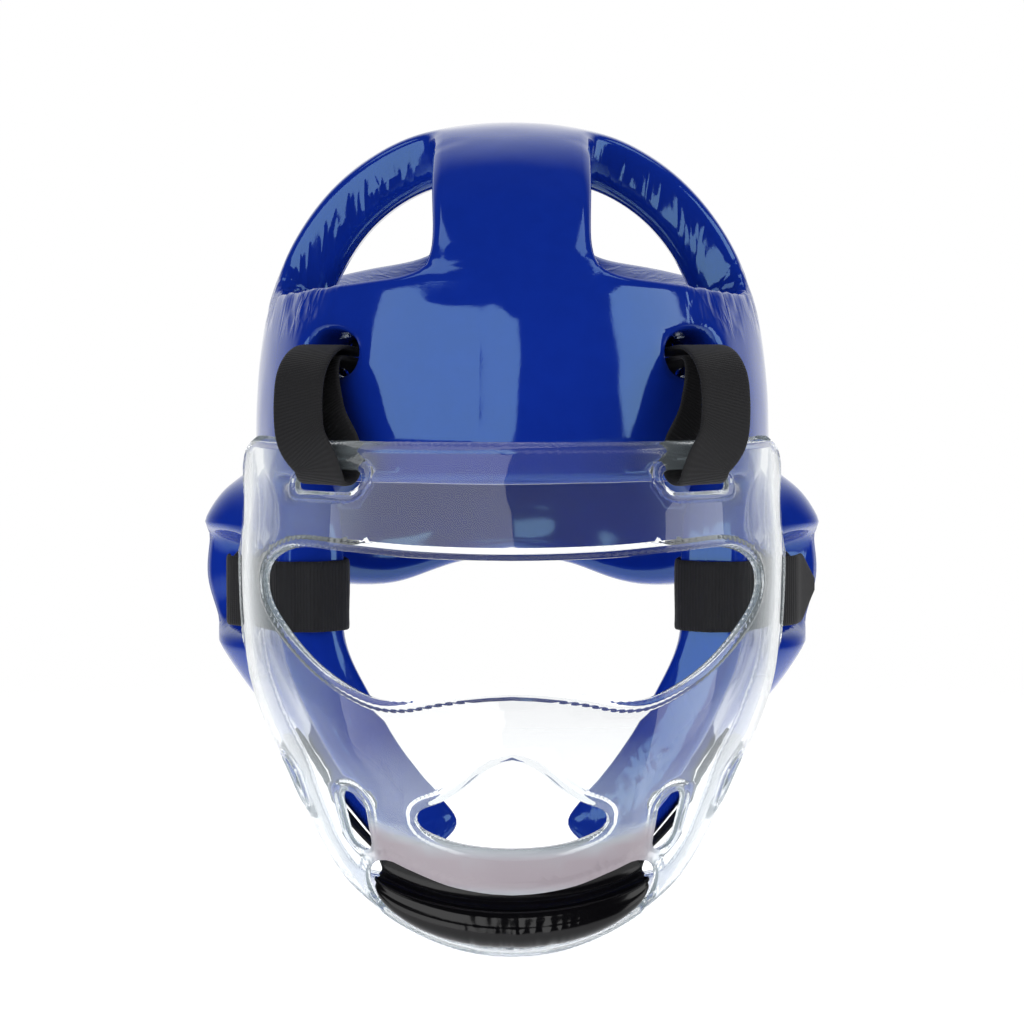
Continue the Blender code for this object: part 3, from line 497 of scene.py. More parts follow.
def crown_cells(points):
    """Add the crown's strip and arch to the points, and return their cells."""
    lines = (-ARCH_FRONT, (ARCH_BACK - ARCH_FRONT) / 2, ARCH_BACK)
    half_width, front, back, _ = outer_sizes()
    for index, y in enumerate(lines):
        for side in (0, 1):
            points["top", index, side] = crown_point(STRIP_HALF_WIDTH * side, y)
    cells = [[("top", i, 0), ("top", i, 1), ("top", i + 1, 1), ("top", i + 1, 0)] for i in (0, 1)]
    ends = (("front", -front, 0, 0, STRIP_FRONT), ("back", back, 2, LAST, STRIP_BACK))
    for name, reach, edge, centre, column in ends:
        previous = [("top", edge, 0), ("top", edge, 1)]
        for index, share in enumerate(STRIP_STATIONS):
            y = blend(lines[edge], STRIP_REACH * reach, share)
            current = [(name, index, side) for side in (0, 1)]
            for key in current:
                points[key] = crown_point(STRIP_HALF_WIDTH * key[2], y)
            cells.append([previous[0], previous[1], current[1], current[0]])
            previous = current
        cells.append([previous[0], previous[1], (0, column), (0, centre)])
    previous = [("top", index, 1) for index in range(3)]
    for number, share in enumerate(ARCH_STATIONS):
        current = [("arch", number, index) for index in range(3)]
        for key, y in zip(current, lines):
            points[key] = crown_point(half_width * share, y * (1 - ARCH_TAPER * share))
        cells += [[previous[i], previous[i + 1], current[i + 1], current[i]] for i in (0, 1)]
        previous = current
    foot = [(0, ARCH_A), (0, ARCH_B), (0, ARCH_C)]
    cells += [[previous[i], previous[i + 1], foot[i + 1], foot[i]] for i in (0, 1)]
    return cells


def thicken(mesh, depth_of):
    """Give an open sheet its wall inward, with a band of faces round every edge."""
    crease = mesh.edges.layers.float.new("crease_edge")
    mesh.normal_update()
    outer = list(mesh.verts)
    rim = [edge for edge in mesh.edges if edge.is_boundary]
    faces = list(mesh.faces)
    inner = {}
    for vertex in outer:
        normal = vertex.normal.copy()
        if abs(vertex.co.x) < 1e-6:
            normal.x = 0.0
            normal.normalize()
        inner[vertex] = mesh.verts.new(vertex.co - normal * depth_of(vertex.co))
    for face in faces:
        mesh.faces.new([inner[vertex] for vertex in reversed(face.verts)])
    for edge in rim:
        loop = edge.link_loops[0]
        start, end = loop.vert, loop.link_loop_next.vert
        mesh.faces.new((end, start, inner[start], inner[end]))
        edge[crease] = RIM_CREASE
        mesh.edges.get((inner[start], inner[end]))[crease] = INNER_CREASE
    bmesh.ops.recalc_face_normals(mesh, faces=mesh.faces)


def link_mesh(name, mesh):
    """Turn a bmesh into a named, smooth object of the scene."""
    data = bpy.data.meshes.new(name)
    mesh.to_mesh(data)
    mesh.free()
    data.shade_smooth()
    thing = bpy.data.objects.new(name, data)
    bpy.context.scene.collection.objects.link(thing)
    return thing


def apply_modifiers(thing):
    """Keep what the object's modifiers make as its own mesh."""
    bpy.context.view_layer.update()
    done = thing.evaluated_get(bpy.context.evaluated_depsgraph_get())
    data = bpy.data.meshes.new_from_object(done)
    old = thing.data
    thing.modifiers.clear()
    thing.data = data
    bpy.data.meshes.remove(old)
    data.name = thing.name
    return thing


def read_places(data):
    """Vertex places and directions as arrays."""
    places = np.empty(len(data.vertices) * 3)
    data.vertices.foreach_get("co", places)
    normals = np.empty(len(data.vertices) * 3)
    data.vertex_normals.foreach_get("vector", normals)
    return places.reshape(-1, 3), normals.reshape(-1, 3)


def store_number(data, name, values):
    """Keep a number for each vertex under a name that the materials read."""
    layer = data.attributes.new(name, "FLOAT", "POINT")
    layer.data.foreach_set("value", np.asarray(values, dtype=np.float32))


def fold_offsets(places, normals, depth_scale):
    """How far each point sinks along its normal for the pressed folds, and how folded it is."""
    sunk = np.zeros(len(places))
    folded = np.zeros(len(places))
    for number, (x, y, z, run_x, run_y, run_z, count, length, pitch, depth) in enumerate(FOLDS):
        for side in (1, -1):
            centre = np.array((side * x, y, z))
            run = np.array((side * run_x, run_y, run_z))
            run = run / np.linalg.norm(run)
            near = np.argmin(np.linalg.norm(places - centre, axis=1))
            normal = normals[near]
            centre = places[near]
            run = run - normal * run.dot(normal)
            run = run / np.linalg.norm(run)
            over = np.cross(normal, run)
            local = places - centre
            depth_way = local @ normal
            along = local @ run / (length / 2)
            across = local @ over
            close = np.exp(-(depth_way / FOLD_REACH) ** 2)
            for fold in range(count):
                shift = (fold - (count - 1) / 2) * pitch
                wobble = FOLD_WANDER * pitch * np.sin(along * 2.1 + fold * 1.9 + number + side)
                reach = 1.0 - 0.25 * ((fold * 7 + number * 3) % 4) / 3
                line = np.exp(-((across - shift - wobble) / (pitch * FOLD_SHARE)) ** 2)
                fade = np.exp(-(along / reach) ** 4)
                sunk += line * fade * close * depth * reach
            spread = np.exp(-(across / (count * pitch * BUNCHING_SPREAD)) ** 4)
            spread = spread * np.exp(-along ** 4) * close
            folded = np.maximum(folded, spread * (0.0 if number < SMOOTH_GROUPS else BUNCHING))
    x, z, half_width, half_height, depth = FOREHEAD_CREASE
    lens = ((places[:, 0] - x) / half_width) ** 2 + ((places[:, 2] - z) / half_height) ** 4
    sunk += depth * np.exp(-(lens * 1.2) ** 2) * (places[:, 1] < FOREHEAD_PLANE)
    return sunk * depth_scale, folded


def swell_offsets(places, amount):
    """Slow unevenness of the dipped foam along its skin."""
    return np.array([
        amount * (noise.noise(Vector(p) * SLOW_SWELLING)
                  + 0.5 * noise.noise(Vector(p) * QUICK_SWELLING)) for p in places])


def make_shell(levels, fold_depth, unevenness):
    """Padded shell: the cage rounded, then swollen and folded where its vinyl bunches."""
    mesh = bmesh.new()
    points = shell_rows()
    vertices = {}
    for cell in shell_cells() + crown_cells(points):
        for key in cell:
            if key not in vertices:
                vertices[key] = mesh.verts.new(points[key])
        mesh.faces.new([vertices[key] for key in cell])
    bmesh.ops.mirror(mesh, geom=list(mesh.verts) + list(mesh.edges) + list(mesh.faces),
                     axis="X", merge_dist=1e-5)
    bmesh.ops.recalc_face_normals(mesh, faces=mesh.faces)
    if sum(face.normal.dot(face.calc_center_median() + Vector((0, 0, CROWN_HEIGHT)))
           for face in mesh.faces) < 0:
        bmesh.ops.reverse_faces(mesh, faces=mesh.faces)
    flag = mesh.verts.layers.float.new("outside")
    for vertex in mesh.verts:
        vertex[flag] = 1.0

    def wall(place):
        below = min(1.0, max(0.0, (-place.z - BAND_BOTTOM) / (EAR_HOLE_TOP - BAND_BOTTOM)))
        raised = max(0.0, abs(place.x) - outer_sizes()[0])
        return PADDING + CHEEK_EXTRA * below + raised * EAR_WALL_SHARE

    thicken(mesh, wall)
    shell = link_mesh("padded_shell", mesh)
    rounding = shell.modifiers.new("Rounding", "SUBSURF")
    rounding.levels = levels
    rounding.render_levels = levels
    apply_modifiers(shell)
    data = shell.data
    places, normals = read_places(data)
    outside = np.empty(len(places), dtype=np.float32)
    data.attributes["outside"].data.foreach_get("value", outside)
    edge_zone = 1 - np.abs(2 * np.clip(outside, 0, 1) - 1)
    sunk, folded = fold_offsets(places, normals, fold_depth)
    places = places + normals * (swell_offsets(places, unevenness) - sunk)[:, None]
    data.vertices.foreach_set("co", places.ravel())
    data.update()
    store_number(data, "folded", np.maximum(folded, edge_zone * RIM_BUNCHING))
    data.shade_smooth()
    return shell


def profile_runs():
    """Length of the shield's front profile from its top edge to each row."""
    runs = [0.0]
    for upper, lower in zip(SHIELD_PROFILE, SHIELD_PROFILE[1:]):
        drop = (lower[0] - upper[0]) * (SHIELD_BOTTOM - SHIELD_TOP)
        reach = (lower[2] - upper[2]) * SHIELD_REACH
        runs.append(runs[-1] + hypot(drop, reach))
    return runs


PROFILE_RUNS = profile_runs()


def profile_at(run):
    """Row of the shield's profile at a length along it, on a smooth curve through the rows."""
    runs = PROFILE_RUNS
    rows = SHIELD_PROFILE
    last = len(rows) - 1
    index = 0
    while index < last - 1 and run > runs[index + 1]:
        index += 1
    step = runs[index + 1] - runs[index]
    share = min(max((run - runs[index]) / step, 0.0), 1.0)
    before, after = max(index - 1, 0), min(index + 2, last)
    values = []
    for i in range(len(rows[0])):
        start, end = rows[index][i], rows[index + 1][i]
        slope_in = (end - rows[before][i]) / (runs[index + 1] - runs[before]) * step
        slope_out = (rows[after][i] - start) / (runs[after] - runs[index]) * step
        square, cube = share ** 2, share ** 3
        values.append(start * (2 * cube - 3 * square + 1) + slope_in * (cube - 2 * square + share)
                      + end * (3 * square - 2 * cube) + slope_out * (cube - square))
    return values


def shield_point(across, run):
    """Point of the shield's outer face: across in lengths of girth, run down the profile."""
    down, half_width, front_y, side_y, round_to, lift = profile_at(run)
    angle = radians(round_to) * min(max(across / SHIELD_GIRTH, -1.0), 1.0)
    x = SHIELD_HALF_WIDTH * half_width * power_wave(sin(angle), SHIELD_FULLNESS)
    y = SHIELD_REACH * blend(side_y, front_y, power_wave(cos(angle), SHIELD_FULLNESS))
    lifted = down - lift * (x / (SHIELD_HALF_WIDTH * half_width)) ** 2
    return Vector((x, y, -blend(SHIELD_TOP, SHIELD_BOTTOM, lifted)))


def shield_normal(across, run):
    """Outward direction of the shield's outer face."""
    step = 0.0005
    over = shield_point(across + step, run) - shield_point(across - step, run)
    along = shield_point(across, run + step) - shield_point(across, max(run - step, 0.0))
    return over.cross(along).normalized() * -1


def on_shield(over, down):
    """Shield lengths (across, run) of a place given as shares of its half width and height."""
    low, high = 0.0, PROFILE_RUNS[-3]
    for _ in range(40):
        middle = (low + high) / 2
        row = profile_at(middle)
        share = min(abs(over) / row[1], 1.0)
        if row[0] - row[5] * share ** 2 < down:
            low = middle
        else:
            high = middle
    across = degrees(asin(share ** (SHIELD_FULLNESS / 2))) / row[4] * SHIELD_GIRTH
    return (across if over >= 0 else -across), low


def curve_at(a, b, c, d, share):
    """Place on the smooth curve from b to c that comes from a and goes on to d."""
    return 0.5 * (2 * b + (c - a) * share + (2 * a - 5 * b + 4 * c - d) * share ** 2
                  + (3 * b - a - 3 * c + d) * share ** 3)


def smooth_loop(points, count):
    """Evenly spaced points on a closed smooth curve through the given ones."""
    total = len(points)
    fine = []
    for index in range(total):
        p0, p1, p2, p3 = (points[(index + k) % total] for k in (-1, 0, 1, 2))
        for step in range(LOOP_STEPS):
            fine.append(tuple(curve_at(a, b, c, d, step / LOOP_STEPS)
                              for a, b, c, d in zip(p0, p1, p2, p3)))
    return even_loop(fine, count)


def even_loop(points, count):
    """Points at even steps along a closed chain of points."""
    chain = points + points[:1]
    marks = [0.0]
    for a, b in zip(chain, chain[1:]):
        marks.append(marks[-1] + hypot(b[0] - a[0], b[1] - a[1]))
    result = []
    index = 0
    for number in range(count):
        target = marks[-1] * number / count
        while marks[index + 1] < target:
            index += 1
        share = (target - marks[index]) / max(marks[index + 1] - marks[index], 1e-12)
        result.append(tuple(blend(a, b, share) for a, b in zip(chain[index], chain[index + 1])))
    return result


def mirrored(half):
    """Closed outline from its right half, whose first and last points are on the centre line."""
    return list(half) + [(-over, down) for over, down in reversed(half[1:-1])]


def slot_outline(slot, side, count):
    """Outline of a slot or vent with round ends, in shield lengths."""
    over, down, width, height, lean = slot
    across, run = on_shield(over, down)
    stretch = 0.001 / (shield_point(across + 0.001, run) - shield_point(across, run)).length
    radius = min(width, height) / 2
    long_half = max(width, height) / 2 - radius
    turn = radians(lean)
    outline = []
    for number in range(count):
        angle = 2 * pi * (number + 0.5) / count
        over, down = radius * cos(angle), radius * sin(angle)
        if width > height:
            over += long_half if over > 0 else -long_half
        else:
            down += long_half if down > 0 else -long_half
        turned = over * cos(turn) - down * sin(turn)
        along = over * sin(turn) + down * cos(turn)
        outline.append((side * (across + turned * stretch), run + along))
    return outline


def side_slot(side, count):
    """Temple slot in the shield's side wall, in shield lengths."""
    run = on_shield(0.0, (TEMPLE_DEPTH - SHIELD_TOP) / (SHIELD_BOTTOM - SHIELD_TOP))[1]
    low, high = 0.0, SHIELD_GIRTH
    for _ in range(40):
        middle = (low + high) / 2
        if shield_point(middle, run).y < TEMPLE_SLOT_Y:
            low = middle
        else:
            high = middle
    step = shield_point(low + 0.001, run) - shield_point(low, run)
    stretch = 0.001 / step.length
    radius = TEMPLE_SLOT_WIDTH / 2
    half = TEMPLE_SLOT_HEIGHT / 2 - radius
    outline = []
    for number in range(count):
        angle = 2 * pi * (number + 0.5) / count
        along = radius * sin(angle) + (half if sin(angle) > 0 else -half)
        outline.append((side * (low + radius * cos(angle) * stretch), run + along))
    return outline


def shield_openings(finer):
    """Every opening of the shield as a loop of shield lengths."""
    loops = []
    for half, count in ((EYE_OUTLINE, 48), (NOSE_OUTLINE, 28), (CHIN_OUTLINE, 28)):
        outline = smooth_loop(mirrored(half), 6 * count)
        loops.append(even_loop([on_shield(*place) for place in outline], count * finer))
    for side in (1, -1):
        for slot in (BROW_SLOT, FRONT_VENT, SIDE_VENT):
            loops.append(even_loop(slot_outline(slot, side, 60), 14 * finer))
        loops.append(even_loop(side_slot(side, 60), 14 * finer))
    return loops


def shield_edge(count):
    """Outer edge of the shield in shield lengths, with round upper corners."""
    end = PROFILE_RUNS[-1]
    corner = SHIELD_CORNER
    loop = []
    for across, run, start in ((1, 0, -90), (1, 1, 0), (-1, 1, 90), (-1, 0, 180)):
        for number in range(6):
            angle = radians(start + 90 * number / 5)
            loop.append((across * (SHIELD_GIRTH - corner) + corner * cos(angle),
                         run * (end - 2 * corner) + corner + corner * sin(angle)))
    return even_loop(loop, count)


def offset_loop(loop, distance, count):
    """Loop moved outward from an opening by a distance."""
    area = sum(a[0] * b[1] - b[0] * a[1] for a, b in zip(loop, loop[1:] + loop[:1]))
    turn = 1 if area > 0 else -1
    moved = []
    total = len(loop)
    for index in range(total):
        a, b = loop[index - 1], loop[(index + 1) % total]
        dx, dy = b[0] - a[0], b[1] - a[1]
        size = hypot(dx, dy)
        moved.append((loop[index][0] + turn * dy / size * distance,
                      loop[index][1] - turn * dx / size * distance))
    return even_loop(moved, count)


def segments_of(loops):
    """Every side of every closed loop as two arrays of flat points."""
    starts = np.array([p for loop in loops for p in loop])
    ends = np.array([p for loop in loops for p in loop[1:] + loop[:1]])
    return starts, ends


def distances_to(points, loops):
    """Distance from each flat point to the nearest side of any of the loops."""
    starts, ends = segments_of(loops)
    way = ends - starts
    size = np.maximum((way ** 2).sum(axis=1), 1e-15)
    best = np.empty(len(points))
    for first in range(0, len(points), 400):
        part = points[first:first + 400, None, :] - starts[None]
        share = np.clip((part * way).sum(axis=2) / size, 0, 1)
        gap = part - share[:, :, None] * way
        best[first:first + 400] = np.sqrt((gap ** 2).sum(axis=2)).min(axis=1)
    return best


def are_inside(points, loop):
    """Whether each flat point lies inside a closed loop."""
    starts, ends = segments_of([loop])
    result = np.zeros(len(points), dtype=bool)
    for (ax, ay), (bx, by) in zip(starts, ends):
        if ay == by:
            continue
        spans = (ay > points[:, 1]) != (by > points[:, 1])
        result ^= spans & (points[:, 0] < ax + (points[:, 1] - ay) * (bx - ax) / (by - ay))
    return result


def are_on_sheet(points, edge, openings):
    """Whether each flat point lies on the sheet and in none of its openings."""
    result = are_inside(points, edge)
    for loop in openings:
        result &= ~are_inside(points, loop)
    return result


def ramp(value, low, high):
    """Share of the way from low to high, kept between 0 and 1."""
    share = min(max((value - low) / (high - low), 0.0), 1.0)
    return share * share * (3 - 2 * share)


SHADE_ZONE_TOP_RUN = on_shield(0.0, SHADE_ZONE_TOP)[1]
SHADE_ZONE_BOTTOM_RUN = on_shield(0.0, SHADE_ZONE_BOTTOM)[1]
SHADE_ZONE_SIDE = on_shield(SHADE_ZONE_REACH, SHADE_ZONE_BOTTOM)[0]


def painted_chin_shade_at(across, run):
    """How much painted shade and reflection the wall gets: fully between the nose opening and the
    chin cut-out.
    """
    side = abs(across) / SHADE_ZONE_SIDE
    lift = SHADE_ZONE_BOW * min(side, 1.0) ** 2
    top = SHADE_ZONE_TOP_RUN - lift
    return (ramp(run, top - SHADE_ZONE_BLUR, top + SHADE_ZONE_BLUR)
            * (1 - ramp(run, SHADE_ZONE_BOTTOM_RUN - SHADE_ZONE_BLUR, SHADE_ZONE_BOTTOM_RUN + SHADE_ZONE_BLUR))
            * (1 - ramp(side, 0.75, 1.1)))


def painted_reflection_at(across, run):
    """How much painted pale reflection the wall gets: least over the forehead's middle, more beside
    and below it.
    """
    side = ramp(abs(across), PAINTED_REFLECTION_FROM, PAINTED_REFLECTION_TO)
    end = PROFILE_RUNS[-1]
    return max(PAINTED_REFLECTION_LEAST + PAINTED_REFLECTION_SIDE * side, ramp(run, PAINTED_REFLECTION_BELOW * end, PAINTED_REFLECTION_FULL * end))


def rim_ways(flat, loops, edge, openings):
    """Unit way from the nearest rim into the sheet at each flat point, in its flat lengths."""
    step = 0.0002
    ways = []
    for axis in ((step, 0.0), (0.0, step)):
        depths = []
        for sign in (1, -1):
            points = flat + np.array(axis) * sign
            gap = distances_to(points, loops)
            depths.append(np.where(are_on_sheet(points, edge, openings), gap, -gap))
        ways.append((depths[0] - depths[1]) / (2 * step))
    return np.stack(ways, axis=1)


def shade_rims(data):
    """Shade the sheet by its true bead and wall directions, which its triangles only come near."""
    found = {}
    for name in ("bead_way", "wall_way"):
        values = np.empty(len(data.vertices) * 3, dtype=np.float32)
        data.attributes[name].data.foreach_get("vector", values)
        found[name] = values.reshape(-1, 3)
        data.attributes.remove(data.attributes[name])
    normals = []
    for face in data.polygons:
        source = found["wall_way" if len(face.vertices) == 4 else "bead_way"]
        normals += [tuple(source[index]) for index in face.vertices]
    data.normals_split_custom_set(normals)


def make_shield(spacing, bead_rise):
    """Clear shield: one moulded sheet with a round bead along its edge and openings."""
    openings = shield_openings(3)
    edge = shield_edge(380)
    loops = [edge] + openings
    places = [np.array(loop) for loop in loops]
    constraints = []
    first = 0
    for loop in loops:
        constraints += [(first + i, first + (i + 1) % len(loop)) for i in range(len(loop))]
        first += len(loop)
    for share in BEAD_RINGS:
        for index, loop in enumerate(loops):
            way = BEAD_WIDTH * share * (-1 if index == 0 else 1)
            ring = np.array(offset_loop(loop, way, len(loop)))
            clear = distances_to(ring, loops) > BEAD_WIDTH * share * 0.96
            ring = ring[clear & are_on_sheet(ring, edge, openings)]
            places.append(ring)
    end = PROFILE_RUNS[-1]
    columns, lines = ceil(2 * SHIELD_GIRTH / spacing), ceil(end / spacing)
    grid = np.array([
        (SHIELD_GIRTH * (2 * (column + 0.5 * (line % 2)) / columns - 1), end * line / lines)
        for line in range(1, lines) for column in range(1, columns)])
    keep = are_on_sheet(grid, edge, openings)
    grid = grid[keep]
    grid = grid[distances_to(grid, loops) > BEAD_WIDTH + 0.45 * spacing]
    places.append(grid)
    places = np.concatenate(places)
    flat, _, triangles, *_ = delaunay_2d_cdt([Vector(p) for p in places], constraints, [], 0, 1e-7)
    flat = np.array([(p.x, p.y) for p in flat])
    triangles = np.array([t for t in triangles if len(t) == 3])
    middles = flat[triangles].mean(axis=1)
    triangles = triangles[are_on_sheet(middles, edge, openings)]
    gaps = np.clip(distances_to(flat, loops) / BEAD_WIDTH, 0, 1)
    half = SHIELD_WALL / 2 + bead_rise * np.sin(pi * gaps) ** 1.5
    slopes = (bead_rise * 1.5 * pi / BEAD_WIDTH * np.cos(pi * gaps)
              * np.sqrt(np.maximum(np.sin(pi * gaps), 0)))
    inward = rim_ways(flat, loops, edge, openings)
    mesh = bmesh.new()
    # How much painted shade and reflection each point gets over the chin.
    painted_chin_shade = mesh.verts.layers.float.new("painted_chin_shade")
    # How much painted pale reflection of the ground each point gets.
    painted_reflection = mesh.verts.layers.float.new("painted_reflection")
    bead_way = mesh.verts.layers.float_vector.new("bead_way")
    wall_way = mesh.verts.layers.float_vector.new("wall_way")
    front, back = [], []
    for (across, run), bulge, slope, (over, down) in zip(flat, half, slopes, inward):
        place = shield_point(across, run)
        normal = shield_normal(across, run)
        middle = place - normal * (SHIELD_WALL / 2)
        into = ((shield_point(across + 0.0005, run) - place).normalized() * over
                + (shield_point(across, run + 0.0005) - place).normalized() * down)
        for layer, vertices in ((1, front), (-1, back)):
            vertex = mesh.verts.new(middle + normal * bulge * layer)
            vertex[painted_chin_shade] = painted_chin_shade_at(across, run)
            vertex[painted_reflection] = painted_reflection_at(across, run)
            vertex[bead_way] = (normal * layer - into * slope).normalized()
            vertex[wall_way] = (-into).normalized()
            vertices.append(vertex)
    for a, b, c in triangles:
        mesh.faces.new((front[a], front[b], front[c]))
    mesh.normal_update()
    if sum(face.normal.y for face in mesh.faces) > 0:
        bmesh.ops.reverse_faces(mesh, faces=list(mesh.faces))
    rim = [side for side in mesh.edges if side.is_boundary]
    twin = dict(zip(front, back))
    for face in list(mesh.faces):
        mesh.faces.new([twin[vertex] for vertex in reversed(face.verts)])
    for side in rim:
        loop = side.link_loops[0]
        start, finish = loop.vert, loop.link_loop_next.vert
        mesh.faces.new((finish, start, twin[start], twin[finish]))
    bmesh.ops.delete(mesh, geom=[v for v in mesh.verts if not v.link_faces], context="VERTS")
    shield = link_mesh("clear_shield", mesh)
    shade_rims(shield.data)
    return shield


def smooth_path(points, count):
    """Evenly spaced points on a smooth open curve through the given ones."""
    ends = [points[0] * 2 - points[1]] + list(points) + [points[-1] * 2 - points[-2]]
    fine = []
    for p0, p1, p2, p3 in zip(ends, ends[1:], ends[2:], ends[3:]):
        fine += [curve_at(p0, p1, p2, p3, step / PATH_STEPS) for step in range(PATH_STEPS)]
    fine.append(points[-1])
    marks = [0.0]
    for start, end in zip(fine, fine[1:]):
        marks.append(marks[-1] + (end - start).length)
    result = []
    index = 0
    for number in range(count):
        target = marks[-1] * number / (count - 1)
        while index < len(fine) - 2 and marks[index + 1] < target:
            index += 1
        share = (target - marks[index]) / (marks[index + 1] - marks[index])
        result.append(fine[index].lerp(fine[index + 1], share))
    return result


def settle(vertices, trees, clear):
    """Push points out until they clear every surface; the surfaces' faces point outward."""
    for _ in range(SETTLE_ROUNDS):
        for vertex in vertices:
            for tree in trees:
                near, normal, _, distance = tree.find_nearest(vertex.co)
                if distance > PADDING / 2:
                    continue
                if (vertex.co - near).dot(normal) < -0.5 * distance:
                    vertex.co = near + normal * clear
                elif distance < clear:
                    vertex.co = near + (vertex.co - near).normalized() * clear


def make_strap(name, route, across, width, thickness, trees, tip=1.0):
    """Flat strap along a route, laid clear of the surfaces it passes; across is its width's way.

    Its front and back get round selvedges, and a map in metres for the weave.
    """
    mesh = bmesh.new()
    rows = []
    total = len(route)
    shares = [sin(pi / 2 * (2 * i / (STRAP_COLUMNS - 1) - 1)) for i in range(STRAP_COLUMNS)]
    runs = [0.0]
    for start, end in zip(route, route[1:]):
        runs.append(runs[-1] + (end - start).length)
    for index, place in enumerate(route):
        tangent = (route[min(index + 1, total - 1)] - route[max(index - 1, 0)]).normalized()
        side = (across - tangent * across.dot(tangent)).normalized()
        left = max(0.0, 1 - (runs[-1] - runs[index]) / (width * TIP_LENGTH))
        half = width / 2 * (1.0 - (1.0 - tip) * left)
        rows.append([mesh.verts.new(place + side * share * half) for share in shares])
    settle(mesh.verts, trees, GAP + thickness / 2 + CHORD_ROOM / 2)
    for _ in range(2):
        smooth_rows(rows)
        settle(mesh.verts, trees, GAP + thickness / 2 + CHORD_ROOM / 3)
    middles = [[vertex.co.copy() for vertex in row] for row in rows]
    mesh.free()
    return weave_solid(name, middles, shares, runs, width, thickness)


def smooth_rows(rows):
    """Even out a strap along its length."""
    places = [[vertex.co.copy() for vertex in row] for row in rows]
    for index in range(1, len(rows) - 1):
        for i, vertex in enumerate(rows[index]):
            vertex.co = (places[index - 1][i] + places[index][i] * 2 + places[index + 1][i]) / 4


def weave_solid(name, middles, shares, runs, width, thickness):
    """Solid strap round a grid of middle points, with round edges and a map in metres."""
    mesh = bmesh.new()
    along_map = mesh.loops.layers.uv.new("Weave")
    rings = []
    count = len(shares)
    for index, row in enumerate(middles):
        ahead = middles[min(index + 1, len(middles) - 1)]
        behind = middles[max(index - 1, 0)]
        ring = []
        for layer in (1, -1):
            order = range(count) if layer == 1 else range(count - 1, -1, -1)
            for i in order:
                tangent = ahead[i] - behind[i]
                over = row[min(i + 1, count - 1)] - row[max(i - 1, 0)]
                normal = over.cross(tangent).normalized()
                round_off = max(0.0, 1 - abs(shares[i]) ** SELVEDGE_POWER) ** 0.5
                rise = normal * layer * thickness / 2 * max(round_off, SELVEDGE_LEAST)
                ring.append((mesh.verts.new(row[i] + rise), (shares[i] + 1) / 2 * width))
        rings.append(ring)
    total = len(rings[0])

    def add(corners, spots):
        face = mesh.faces.new(corners)
        for loop, spot in zip(face.loops, spots):
            loop[along_map].uv = spot

    for index, (ring, following) in enumerate(zip(rings, rings[1:])):
        for i in range(total):
            j = (i + 1) % total
            add((ring[i][0], ring[j][0], following[j][0], following[i][0]),
                ((ring[i][1], runs[index]), (ring[j][1], runs[index]),
                 (following[j][1], runs[index + 1]), (following[i][1], runs[index + 1])))
    for ring, run in ((rings[0], runs[0]), (rings[-1], runs[-1])):
        for i in range(count - 1):
            j = total - 1 - i
            add((ring[i][0], ring[i + 1][0], ring[j - 1][0], ring[j][0]),
                [(ring[k][1], run) for k in (i, i + 1, j - 1, j)])
    bmesh.ops.recalc_face_normals(mesh, faces=mesh.faces)
    strap = link_mesh(name, mesh)
    strap.data.set_sharp_from_angle(angle=radians(60))
    return strap


def make_brow_strap(name, side, trees):
    """Elastic loop: in at the forehead slot, out, down over the shield's bar and back behind it."""
    angle = (COLUMNS[SLOT_LEFT] + COLUMNS[SLOT_RIGHT]) / 2
    level = -(BROW_SLOT_TOP + BROW_SLOT_HEIGHT / 2)
    outer = skin_point(angle, level)
    out = Vector((outer.x, outer.y, 0)).normalized()
    up = Vector((0, 0, 1))
    slope = skin_point(angle, level + 0.002) - skin_point(angle, level - 0.002)
    inner = outer - (out - up * slope.dot(out) / slope.z).normalized() * PADDING
    run = on_shield(BROW_SLOT[0], BROW_SLOT[1])
    bar = shield_point(*run)
    bar_out = shield_normal(*run)
    tab_gap = GAP + ELASTIC_THICKNESS / 2 + BROW_TAB_ROOM
    points = [
        inner - out * (tab_gap + 0.0065) + up * BROW_TAB,
        inner - out * (tab_gap + 0.0020) + up * (STRAP_LAYER + 0.004),
        inner + out * 0.003 + up * STRAP_LAYER,
        outer + out * 0.002 + up * STRAP_LAYER,
        *(outer.lerp(bar, share) + out * away + up * rise for share, away, rise in BROW_OUTER_RUN),
        *(bar + bar_out * away + up * rise for away, rise in BROW_BAR_TURN),
        *(outer.lerp(bar, share) + out * away + up * rise for share, away, rise in BROW_REAR_RUN),
        outer + out * 0.004 - up * STRAP_LAYER,
        inner + out * 0.003 - up * STRAP_LAYER,
        inner - out * tab_gap - up * (STRAP_LAYER + 0.004),
        inner - out * (tab_gap + 0.0005) - up * BROW_TAB,
    ]
    route = smooth_path([Vector((side * p.x, p.y, p.z)) for p in points], STATIONS["brow"])
    across = Vector((side * out.y, -out.x, 0))
    return make_strap(name, route, across, ELASTIC_WIDTH, ELASTIC_THICKNESS, trees)


